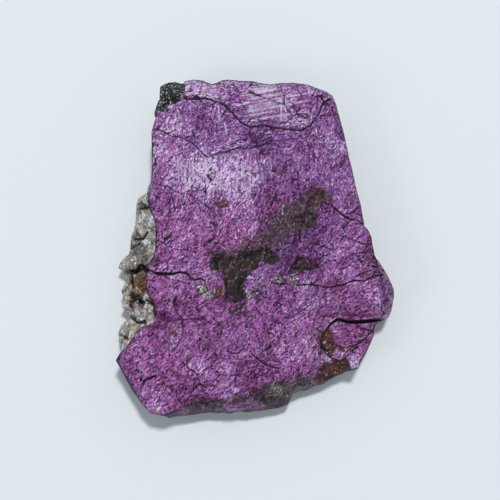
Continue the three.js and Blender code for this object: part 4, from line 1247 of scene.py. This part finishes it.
def add_hollows(mesh):
    """Marks how hollow the surface is at each point: how far the mean of its neighbours lies
    above it along its normal, once for its nearest neighbours and once for a wider circle, each
    measured against its mean size. The materials paint shade into the hollows from it."""
    count = len(mesh.vertices)
    place, normal = (np.zeros(3 * count, np.float32) for _ in range(2))
    mesh.vertices.foreach_get("co", place)
    mesh.vertices.foreach_get("normal", normal)
    place, normal = place.reshape(-1, 3).astype(float), normal.reshape(-1, 3)
    edges = np.zeros(2 * len(mesh.edges), np.int32)
    mesh.edges.foreach_get("vertices", edges)
    one, other = edges.reshape(-1, 2).T
    ends, starts = np.concatenate([one, other]), np.concatenate([other, one])
    degree = np.bincount(ends, minlength=count)
    relaxed = place
    hollow = []
    for rounds in HOLLOW_ROUNDS:
        for _ in range(rounds):
            sums = [np.bincount(ends, relaxed[starts, axis], count) for axis in range(3)]
            relaxed = 0.5 * relaxed + 0.5 * np.stack(sums, axis=1) / degree[:, None]
        offset = ((relaxed - place) * normal).sum(axis=1)
        unit = HOLLOW_UNIT * np.abs(offset).mean()
        hollow.append(np.clip(offset / unit, -HOLLOW_LIMIT, HOLLOW_LIMIT))
    layer = mesh.attributes.new("hollow", "FLOAT_VECTOR", "POINT")
    values = np.stack([*hollow, np.zeros(count)], axis=1)
    layer.data.foreach_set("vector", values.astype(np.float32).ravel())


def make_mesh(name, points, quads, triangles, marks):
    """A smooth-shaded object from arrays of points and faces, with marks as vector attributes."""
    mesh = bpy.data.meshes.new(name)
    corners = np.concatenate([quads.ravel(), triangles.ravel()]).astype(np.int32)
    sizes = np.concatenate([np.full(len(quads), 4), np.full(len(triangles), 3)])
    starts = np.concatenate([[0], np.cumsum(sizes)[:-1]]).astype(np.int32)
    mesh.vertices.add(len(points))
    mesh.vertices.foreach_set("co", in_frame(points).astype(np.float32).ravel())
    mesh.loops.add(len(corners))
    mesh.loops.foreach_set("vertex_index", corners)
    mesh.polygons.add(len(sizes))
    mesh.polygons.foreach_set("loop_start", starts)
    mesh.polygons.foreach_set("use_smooth", np.ones(len(sizes), bool))
    mesh.update(calc_edges=True)
    for mark, values in marks.items():
        layer = mesh.attributes.new(mark, "FLOAT_VECTOR", "POINT")
        layer.data.foreach_set("vector", values.astype(np.float32).ravel())
    mesh.validate()
    add_hollows(mesh)
    made = bpy.data.objects.new(name, mesh)
    bpy.context.scene.collection.objects.link(made)
    return made


# Materials

def linear(text):
    """An sRGB hex colour as three linear values."""
    parts = [int(text[n : n + 2], 16) / 255 for n in (0, 2, 4)]
    return [p / 12.92 if p <= 0.04045 else ((p + 0.055) / 1.055) ** 2.4 for p in parts]


def add(tree, kind, settings=None, links=None):
    """Adds a node. Settings are its options or the values of its sockets, and links are the
    outputs that feed its sockets."""
    made = tree.nodes.new(kind)
    for key, value in (settings or {}).items():
        if isinstance(key, str) and hasattr(made, key):
            setattr(made, key, value)
        else:
            made.inputs[key].default_value = value
    for key, output in (links or {}).items():
        tree.links.new(output, made.inputs[key])
    return made


def new_material(name):
    """An empty node material and its tree."""
    material = bpy.data.materials.new(name)
    material.use_nodes = True
    material.node_tree.nodes.clear()
    return material, material.node_tree


def painted(tree, colour, layers):
    """The colour after each layer (value, low, high, paint): the paint shows where the value
    reaches high, not at all where it is at low, and by a cubic share between. A paint is a hex,
    three linear values or an output."""
    for value, low, high, over in layers:
        steps = {"interpolation_type": "SMOOTHSTEP", "From Min": low, "From Max": high}
        share = add(tree, "ShaderNodeMapRange", steps, {"Value": value}).outputs[0]
        settings, links = {"data_type": "RGBA"}, {0: share}
        for socket, paint in ((6, colour), (7, over)):
            if isinstance(paint, bpy.types.NodeSocket):
                links[socket] = paint
            else:
                settings[socket] = (*(linear(paint) if isinstance(paint, str) else paint), 1.0)
        colour = add(tree, "ShaderNodeMix", settings, links).outputs[2]
    return colour


def weighed(tree, start, terms):
    """A number plus each pattern times its weight."""
    total = start
    for weight, pattern in terms:
        settings, links = {"operation": "MULTIPLY_ADD", 1: weight}, {0: pattern}
        target = links if isinstance(total, bpy.types.NodeSocket) else settings
        target[2] = total
        total = add(tree, "ShaderNodeMath", settings, links).outputs[0]
    return total


def ragged(tree, factor, noise, hardness):
    """A factor with a grainy edge: its product with a quarter plus one and a half times a noise
    that lies around a half, made steep around a half. Where the factor is 0 it stays 0."""
    gain = weighed(tree, 0.25, [(1.5, noise)])
    raw = add(tree, "ShaderNodeMath", {"operation": "MULTIPLY"}, {0: factor, 1: gain}).outputs[0]
    low, high = 0.5 - 0.5 / hardness, 0.5 + 0.5 / hardness
    steep = {"interpolation_type": "SMOOTHSTEP", "From Min": low, "From Max": high}
    return add(tree, "ShaderNodeMapRange", steep, {"Value": raw}).outputs[0]


def leaned_normal(tree, cells, strength, bumped):
    """The bumped normal leaned a little, and differently in every small cell, so that each
    crystal face catches the light on its own."""
    centred = add(
        tree, "ShaderNodeVectorMath", {"operation": "SUBTRACT", 1: (0.5, 0.5, 0.5)}, {0: cells}
    ).outputs[0]
    lean = add(
        tree, "ShaderNodeVectorMath", {"operation": "SCALE", "Scale": strength}, {0: centred}
    ).outputs[0]
    total = add(tree, "ShaderNodeVectorMath", {"operation": "ADD"}, {0: bumped, 1: lean}).outputs[0]
    return add(tree, "ShaderNodeVectorMath", {"operation": "NORMALIZE"}, {0: total}).outputs[0]


def stone_patterns(tree):
    """The slab's marks, noises and cells as outputs. The grain is in millimetres, so a noise with
    a scale of 2 has patterns half a millimetre long, and a mapping above 1 draws them in."""
    marks = [
        add(tree, "ShaderNodeAttribute", {"attribute_name": name}).outputs["Vector"]
        for name in ("stains", "spots", "tint", "lines", "hollow")
    ]
    names = (
        "crack", "oxide", "rust", "pale", "corner", "side", "magenta", "sheen", "edge", "hair",
        "scratch", "dull", "pit", "dip",
    )
    split = [add(tree, "ShaderNodeSeparateXYZ", None, {0: mark}).outputs for mark in marks]
    seen = dict(zip(names, (part for outputs in split for part in outputs)))
    grain = add(tree, "ShaderNodeAttribute", {"attribute_name": "grain"}).outputs["Vector"]
    drawn_out, lines_out, small, tiny = (
        add(tree, "ShaderNodeMapping", {"Scale": size}, {"Vector": grain}).outputs[0]
        for size in ((0.9, 2.4, 1.5), (0.3, 5.0, 1.5), (1.9, 4.2, 2.0), (5.4, 8.4, 5.4))
    )
    for name, scale, detail, rough, place in (
        ("broad", 0.35, 3.0, 0.6, drawn_out),
        ("streaks", 2.4, 5.0, 0.8, drawn_out),
        ("striae", 1.8, 3.0, 0.7, lines_out),
        ("fine", 7.5, 3.0, 0.85, drawn_out),
        ("grit", 3.0, 6.0, 0.75, grain),
        ("breaks", 0.7, 6.0, 0.7, grain),
    ):
        settings = {"Scale": scale, "Detail": detail, "Roughness": rough}
        seen[name] = add(tree, "ShaderNodeTexNoise", settings, {"Vector": place}).outputs["Fac"]
    large_cells, seen["cells"] = (
        add(tree, "ShaderNodeTexVoronoi", {"Scale": 1.0}, {"Vector": place}).outputs["Color"]
        for place in (small, tiny)
    )
    for first, second, colours in (("flake", "tilt", large_cells), ("spark", "dark", seen["cells"])):
        seen[first], seen[second], _ = add(tree, "ShaderNodeSeparateXYZ", None, {0: colours}).outputs
    return SimpleNamespace(**seen)


def purple_colour(tree, seen, shine, violet, magenta):
    """The cleaved purple: from violet to magenta by block, bluer in places, dark where the tone and
    painted light are low, lilac and then nearly white where they are high, which is a painted sheen,
    with painted highlights as glints, specks, scratches and painted shade in the hollows."""
    painted_glints = weighed(tree, 0.0, [(1.0, seen.spark), (0.2, seen.sheen)])
    return painted(tree, violet, [
        (seen.magenta, 0.0, 1.0, magenta),
        (seen.breaks, 0.5, 0.72, "6a5a9e"),
        # Painted light: dark where tone and painted sheen are low, lilac and near white where they are
        # high
        (shine, 0.0, -0.44, "32173a"),
        (shine, 0.02, 0.36, "bf89cf"),
        (shine, 0.35, 0.64, "ecd8f5"),
        # Painted highlights: near white where a small cell and the painted sheen are high
        (painted_glints, 1.03, 1.12, "f4e8f6"),
        (seen.dark, 0.86, 0.95, "28122e"),
        (seen.tilt, 0.9, 1.0, "5b3a55"),
        (seen.grit, 0.61, 0.7, "7b7462"),
        (seen.dark, 0.06, 0.01, "857a78"),
        (seen.spark, 0.05, 0.01, "7a3453"),
        (seen.scratch, 0.0, 0.75, "dccbe8"),
        # Painted shade in the close hollows
        (seen.pit, 1.1, 3.8, "22122a"),
    ])


def dull_colour(tree, seen):
    """Thin grey-brown weathering with olive specks, over the purple of the valley."""
    return painted(tree, "3f3433", [
        (seen.grit, 0.5, 0.62, "6b6450"),
        (seen.spark, 0.86, 0.96, "a39f86"),
    ])


def oxide_colour(tree, seen):
    """Black manganese oxide, a dull crust with brown lumps and flakes of purple left in it."""
    return painted(tree, "15100f", [
        (seen.breaks, 0.45, 0.6, "241d1b"),
        (seen.grit, 0.52, 0.72, "40362f"),
        (seen.flake, 0.75, 0.9, "5a3450"),
        (seen.spark, 0.91, 0.97, "7f7967"),
    ])


def rust_colour(tree, seen):
    """Rust in the chip: dark brown with ochre grains."""
    return painted(tree, "2a1813", [
        (seen.grit, 0.45, 0.62, "643a20"),
        (seen.spark, 0.8, 0.95, "b58a48"),
        (seen.flake, 0.6, 0.75, "5e2a44"),
        (seen.dark, 0.75, 0.85, "1c100e"),
    ])


def side_colour(tree, seen):
    """The broken sides: nearly black, with purple where a cleavage shows and brown stains, and
    painted shade in the hollows.
    """
    return painted(tree, "120c0e", [
        (seen.breaks, 0.46, 0.54, "36232f"),
        (seen.broad, 0.5, 0.64, "503156"),
        (seen.streaks, 0.52, 0.66, "69436f"),
        (seen.breaks, 0.58, 0.66, "5b4c3c"),
        (seen.grit, 0.5, 0.3, "120c0e"),
        # Painted shade in the close hollows
        (seen.pit, 0.6, 2.6, "0d090a"),
        (seen.flake, 0.9, 0.96, "6d4374"),
        (seen.spark, 0.98, 0.995, "756a73"),
    ])


def corner_colour(tree, seen):
    """The dark corner: black mineral with grey faces and small bright ones."""
    return painted(tree, "0e0e0f", [
        (seen.breaks, 0.5, 0.6, "3c4042"),
        (seen.flake, 0.7, 0.85, "666c6e"),
        (seen.spark, 0.84, 0.94, "d8dee0"),
        (seen.tilt, 0.8, 0.9, "33201d"),
        (seen.dark, 0.6, 0.7, "0b0a0a"),
    ])


def crust_colour(tree, seen):
    """Pale crust: grains of grey, olive and white."""
    return painted(tree, "65645e", [
        (seen.grit, 0.42, 0.58, "a2a39b"),
        (seen.spark, 0.6, 0.85, "e2e2da"),
        (seen.dark, 0.5, 0.65, "2b2926"),
    ])


def purpurite_material(violet, magenta):
    """Cleaved purpurite, a manganese phosphate. The eye sees a satiny, half metallic purple made
    of drawn-out flakes that each flash on their own, dull black oxide in the hollows and cracks,
    rust where the weather got in, and brown-black broken sides. A sheen with glints is painted
    into the purple's colour, and shade into the hollows."""
    material, tree = new_material("cleaved_purpurite")
    seen = stone_patterns(tree)
    # The tone and painted light is a sum of patterns, weighed by how much each shows, and lies
    # around 0: the grain's tone, the painted sheen, and less in the hollows, which is painted shade.
    shine = weighed(tree, -TONE_AND_LIGHT_MIDDLE, [
        (1.1, seen.streaks),
        (0.7, seen.striae),
        (1.5, seen.fine),
        (0.9, seen.broad),
        (0.35, seen.flake),
        (0.55, seen.spark),
        (0.72, seen.sheen),
        # Painted shade: the tone and painted light are lowered in the hollows
        (-0.12, seen.pit),
        (-0.05, seen.dip),
    ])
    # Twice the mean of two noises less a half keeps its middle at a half, and is rougher.
    torn = weighed(tree, -0.5, [(1.0, seen.breaks), (1.0, seen.grit)])
    crusts = [
        (ragged(tree, seen.rust, seen.fine, 2.2), rust_colour(tree, seen)),
        (ragged(tree, weighed(tree, 0.0, [(1.0, seen.oxide), (-0.25, seen.dark)]), torn, 3.0),
         oxide_colour(tree, seen)),
        (ragged(tree, seen.corner, seen.grit, 4.0), corner_colour(tree, seen)),
        (ragged(tree, seen.side, seen.breaks, 3.0), side_colour(tree, seen)),
        (ragged(tree, seen.pale, seen.fine, 3.0), crust_colour(tree, seen)),
    ]
    crack = ragged(tree, seen.crack, seen.grit, 2.5)
    colour = painted(tree, purple_colour(tree, seen, shine, violet, magenta), [
        (ragged(tree, seen.dull, seen.fine, 2.2), 0.0, 1.35, dull_colour(tree, seen)),
        (seen.hair, 0.0, 1.05, "1f0f1b"),
        *((share, 0.0, 1.0, paint) for share, paint in crusts),
        # A dark band along the face's edge and down the top of the walls
        (ragged(tree, seen.edge, seen.grit, 2.5), 0.0, 1.3, "170d12"),
        (crack, 0.0, 1.0, "140b0b"),
    ])
    dull = crack
    for share, _ in crusts:
        dull = add(tree, "ShaderNodeMath", {"operation": "MAXIMUM"}, {0: dull, 1: share}).outputs[0]
    metallic, roughness = (
        add(tree, "ShaderNodeMapRange", {"To Min": bare, "To Max": crusted}, {"Value": dull}).outputs[0]
        for bare, crusted in (METALLIC, ROUGHNESS)
    )
    depth = {"Strength": BUMP_STRENGTH, "Distance": FLAKE_BUMP * MM}
    bump = add(tree, "ShaderNodeBump", depth, {"Height": shine}).outputs[0]
    shader = add(
        tree,
        "ShaderNodeBsdfPrincipled",
        {"IOR": 1.6, "Specular IOR Level": 0.35},
        {
            "Base Color": colour,
            "Metallic": metallic,
            "Roughness": roughness,
            "Normal": leaned_normal(tree, seen.cells, FLAKE_LEAN, bump),
        },
    )
    add(tree, "ShaderNodeOutputMaterial", None, {"Surface": shader.outputs[0]})
    return material


def feldspar_material():
    """Albite feldspar and grey quartz, broken: sugary grains from cream to blue-grey, each face
    with its own gleam and a few with a painted white glint, rust and brown stains, and painted
    shade in the gaps between the lumps and in the hollows."""
    material, tree = new_material("broken_feldspar_and_quartz")
    tone, stains, gaps, hollow = (
        add(tree, "ShaderNodeAttribute", {"attribute_name": name}).outputs["Vector"]
        for name in ("tone", "stains", "gaps", "hollow")
    )
    rust, dark, grains = add(tree, "ShaderNodeSeparateXYZ", None, {0: stains}).outputs
    gap_shade, low, _ = add(tree, "ShaderNodeSeparateXYZ", None, {0: gaps}).outputs
    pit, dip, _ = add(tree, "ShaderNodeSeparateXYZ", None, {0: hollow}).outputs
    # Object coordinates are in metres: a scale of 1 / size is a pattern of that size.
    place = add(tree, "ShaderNodeTexCoord").outputs["Object"]
    cloud, grit, stain = (
        add(tree, "ShaderNodeTexNoise", {"Scale": 1 / (size * MM), "Detail": 6.0, "Roughness": rough},
            {"Vector": place}).outputs["Fac"]
        for size, rough in ((1.1, 0.6), (0.35, 0.75), (0.8, 0.65))
    )
    cells, faces = (
        add(tree, "ShaderNodeTexVoronoi", {"Scale": 1 / (size * MM)}, {"Vector": place}).outputs["Color"]
        for size in (0.3, 1.0)
    )
    glint, shade, speck = add(tree, "ShaderNodeSeparateXYZ", None, {0: cells}).outputs
    bright, warm, _ = add(tree, "ShaderNodeSeparateXYZ", None, {0: faces}).outputs
    rust_paint = painted(tree, "452b1b", [
        (grit, 0.45, 0.62, "7c5230"),
        (glint, 0.75, 0.95, "a88459"),
    ])
    colour = painted(tree, tone, [
        (cloud, 0.5, 0.7, "d1d1d8"),
        (bright, 0.5, 1.1, "ecedf3"),
        (bright, 0.5, -0.1, "5a544e"),
        (warm, 0.6, 1.2, "a98d6c"),
        (shade, 0.5, 1.05, "77736f"),
        (low, 0.2, 1.2, "6a5c4e"),
        # Painted shade in the wider hollows
        (dip, 0.4, 2.4, "574e46"),
        # Painted highlights: near-white glints on a few small crystal cells
        (glint, 0.88, 0.96, "f4f2ee"),
        (stain, 0.52, 0.64, "6b482d"),
        (ragged(tree, rust, stain, 2.2), 0.0, 1.0, rust_paint),
        (ragged(tree, dark, grit, 2.0), 0.0, 1.0, "3b3631"),
        (ragged(tree, grains, speck, 3.0), 0.0, 1.0, "33190f"),
        # Painted shade in the close hollows
        (pit, 1.0, 3.6, "3a322b"),
        # Painted shade in the gaps between the lumps
        (ragged(tree, gap_shade, grit, 2.5), 0.0, 1.0, "1f1512"),
    ])
    depth = {"Strength": BUMP_STRENGTH, "Distance": CRYSTAL_BUMP * MM}
    bump = add(tree, "ShaderNodeBump", depth, {"Height": grit}).outputs[0]
    shader = add(
        tree,
        "ShaderNodeBsdfPrincipled",
        {"IOR": 1.53, "Roughness": 0.3},
        {"Base Color": colour, "Normal": leaned_normal(tree, cells, CRYSTAL_LEAN, bump)},
    )
    add(tree, "ShaderNodeOutputMaterial", None, {"Surface": shader.outputs[0]})
    return material


def floor_material():
    """A plain matt surface, pale and a little blue."""
    material, tree = new_material("pale_floor")
    shader = add(
        tree, "ShaderNodeBsdfPrincipled", {"Base Color": (*linear("e9eff3"), 1.0), "Roughness": 0.9}
    )
    add(tree, "ShaderNodeOutputMaterial", None, {"Surface": shader.outputs[0]})
    return material


# Stage

def make_floor():
    """A flat square under the stone."""
    ways = ((-1, -1), (1, -1), (1, 1), (-1, 1))
    corners = [(x * FLOOR_REACH, y * FLOOR_REACH, 0.0) for x, y in ways]
    mesh = bpy.data.meshes.new("floor")
    mesh.from_pydata(corners, [], [(0, 1, 2, 3)])
    floor = bpy.data.objects.new("floor", mesh)
    bpy.context.scene.collection.objects.link(floor)
    mesh.materials.append(floor_material())


def make_light(name, place, size, power, colour):
    """A square lamp at a place in metres that faces the stone."""
    data = bpy.data.lights.new(name, "AREA")
    data.size = size
    data.energy = power
    data.color = linear(colour)
    lamp = bpy.data.objects.new(name, data)
    lamp.location = place
    lamp.rotation_mode = "QUATERNION"
    lamp.rotation_quaternion = (-Vector(place)).to_track_quat("-Z", "Y")
    bpy.context.scene.collection.objects.link(lamp)


def make_camera():
    """The camera over the stone: it looks down along a line tilted a little from the vertical,
    through the aim on the floor, with +X to the right of the picture."""
    tilt, side = math.radians(CAMERA_TILT), math.radians(CAMERA_SIDE)
    forward = Vector((math.sin(side), math.sin(tilt), -math.cos(tilt))).normalized()
    right = forward.cross(Vector((0.0, 1.0, 0.0))).normalized()
    axes = Matrix((right, right.cross(forward), -forward)).transposed()
    aim = Vector(in_frame([*CAMERA_AIM, 0.0]))
    data = bpy.data.cameras.new("camera")
    data.lens = LENS
    data.sensor_width = SENSOR
    data.clip_start = CLIP_START * MM
    camera = bpy.data.objects.new("camera", data)
    camera.location = aim - forward * CAMERA_DISTANCE * MM
    camera.rotation_mode = "QUATERNION"
    camera.rotation_quaternion = axes.to_quaternion()
    bpy.context.scene.collection.objects.link(camera)
    bpy.context.scene.camera = camera


def make_world(strength):
    """Even pale light from all round, and colours shown as they are."""
    world = bpy.data.worlds.new("studio")
    world.use_nodes = True
    tree = world.node_tree
    tree.nodes.clear()
    settings = {"Color": (*linear("eef3f8"), 1.0), "Strength": strength}
    light = add(tree, "ShaderNodeBackground", settings)
    add(tree, "ShaderNodeOutputWorld", None, {"Surface": light.outputs[0]})
    bpy.context.scene.world = world
    bpy.context.scene.view_settings.view_transform = "Standard"


# Settings, operators and panel

class StoneSettings(bpy.types.PropertyGroup):
    """Sizes and colours of the stone."""

    relief: bpy.props.FloatProperty(
        name="Cleavage relief", description="Height of the finest flakes, against the real ones",
        default=1.0, min=0.0, max=3.0,
    )
    rim_relief: bpy.props.FloatProperty(
        name="Rim relief", description="Height of the grains on the rim, against the real ones",
        default=1.0, min=0.0, max=3.0,
    )
    violet: bpy.props.FloatVectorProperty(
        name="Violet", description="The bluest purple on the face", subtype="COLOR", size=3,
        default=linear("9059a6"), min=0.0, max=1.0,
    )
    magenta: bpy.props.FloatVectorProperty(
        name="Magenta", description="The reddest purple on the face", subtype="COLOR", size=3,
        default=linear("b25ea8"), min=0.0, max=1.0,
    )


class StageSettings(bpy.types.PropertyGroup):
    """Strength of the light."""

    key_power: bpy.props.FloatProperty(
        name="Key lamp", description="Power of the lamp above the stone", default=0.9, unit="POWER",
    )
    fill: bpy.props.FloatProperty(
        name="Fill", description="Strength of the light from all round", default=0.4, min=0.0,
    )


class PURPURITE_OT_slab(bpy.types.Operator):
    """Make the purple slab with its cracks, patches and broken sides"""

    bl_idname = "purpurite.slab"
    bl_label = "Make Slab"

    def execute(self, context):
        settings = context.scene.purpurite_stone
        slab = make_mesh("purple_slab", *slab_shape(settings.relief))
        slab.data.materials.append(purpurite_material(settings.violet, settings.magenta))
        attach(slab, "root")
        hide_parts("purpurite")
        return {"FINISHED"}


class PURPURITE_OT_rim(bpy.types.Operator):
    """Make the rim of pale feldspar and quartz"""

    bl_idname = "purpurite.rim"
    bl_label = "Make Rim"

    def execute(self, context):
        rim = make_mesh("pale_rim", *rim_shape(context.scene.purpurite_stone.rim_relief))
        rim.data.materials.append(feldspar_material())
        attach(rim, "root")
        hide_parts("purpurite")
        return {"FINISHED"}


class PURPURITE_OT_stage(bpy.types.Operator):
    """Make the floor, the lights and the camera"""

    bl_idname = "purpurite.stage"
    bl_label = "Make Stage"

    def execute(self, context):
        settings = context.scene.purpurite_light
        make_floor()
        make_light("key", KEY_PLACE, KEY_WIDTH, settings.key_power, "ffffff")
        make_light("side", SIDE_PLACE, SIDE_WIDTH, SIDE_SHARE * settings.key_power, "eaf2ff")
        make_world(settings.fill)
        make_camera()
        return {"FINISHED"}


class PURPURITE_PT_panel(bpy.types.Panel):
    """The settings and the steps"""

    bl_idname = "PURPURITE_PT_panel"
    bl_label = "Purpurite"
    bl_space_type = "VIEW_3D"
    bl_region_type = "UI"
    bl_category = "Purpurite"

    def draw(self, context):
        for group in (context.scene.purpurite_stone, context.scene.purpurite_light):
            for name in group.__annotations__:
                self.layout.prop(group, name)
        for step in STEPS:
            self.layout.operator(step.bl_idname)


STEPS = (PURPURITE_OT_slab, PURPURITE_OT_rim, PURPURITE_OT_stage)
CLASSES = (StoneSettings, StageSettings, *STEPS, PURPURITE_PT_panel)


def register():
    """Makes the classes and their settings known."""
    for cls in CLASSES:
        bpy.utils.register_class(cls)
    bpy.types.Scene.purpurite_stone = bpy.props.PointerProperty(type=StoneSettings)
    bpy.types.Scene.purpurite_light = bpy.props.PointerProperty(type=StageSettings)


def unregister():
    """Takes the classes and their settings out again."""
    del bpy.types.Scene.purpurite_light
    del bpy.types.Scene.purpurite_stone
    for cls in reversed(CLASSES):
        bpy.utils.unregister_class(cls)


def main():
    """Builds the slab, the rim and the stage."""
    register()
    bpy.ops.purpurite.slab()
    bpy.ops.purpurite.rim()
    bpy.ops.purpurite.stage()


if __name__ == "__main__":
    main()
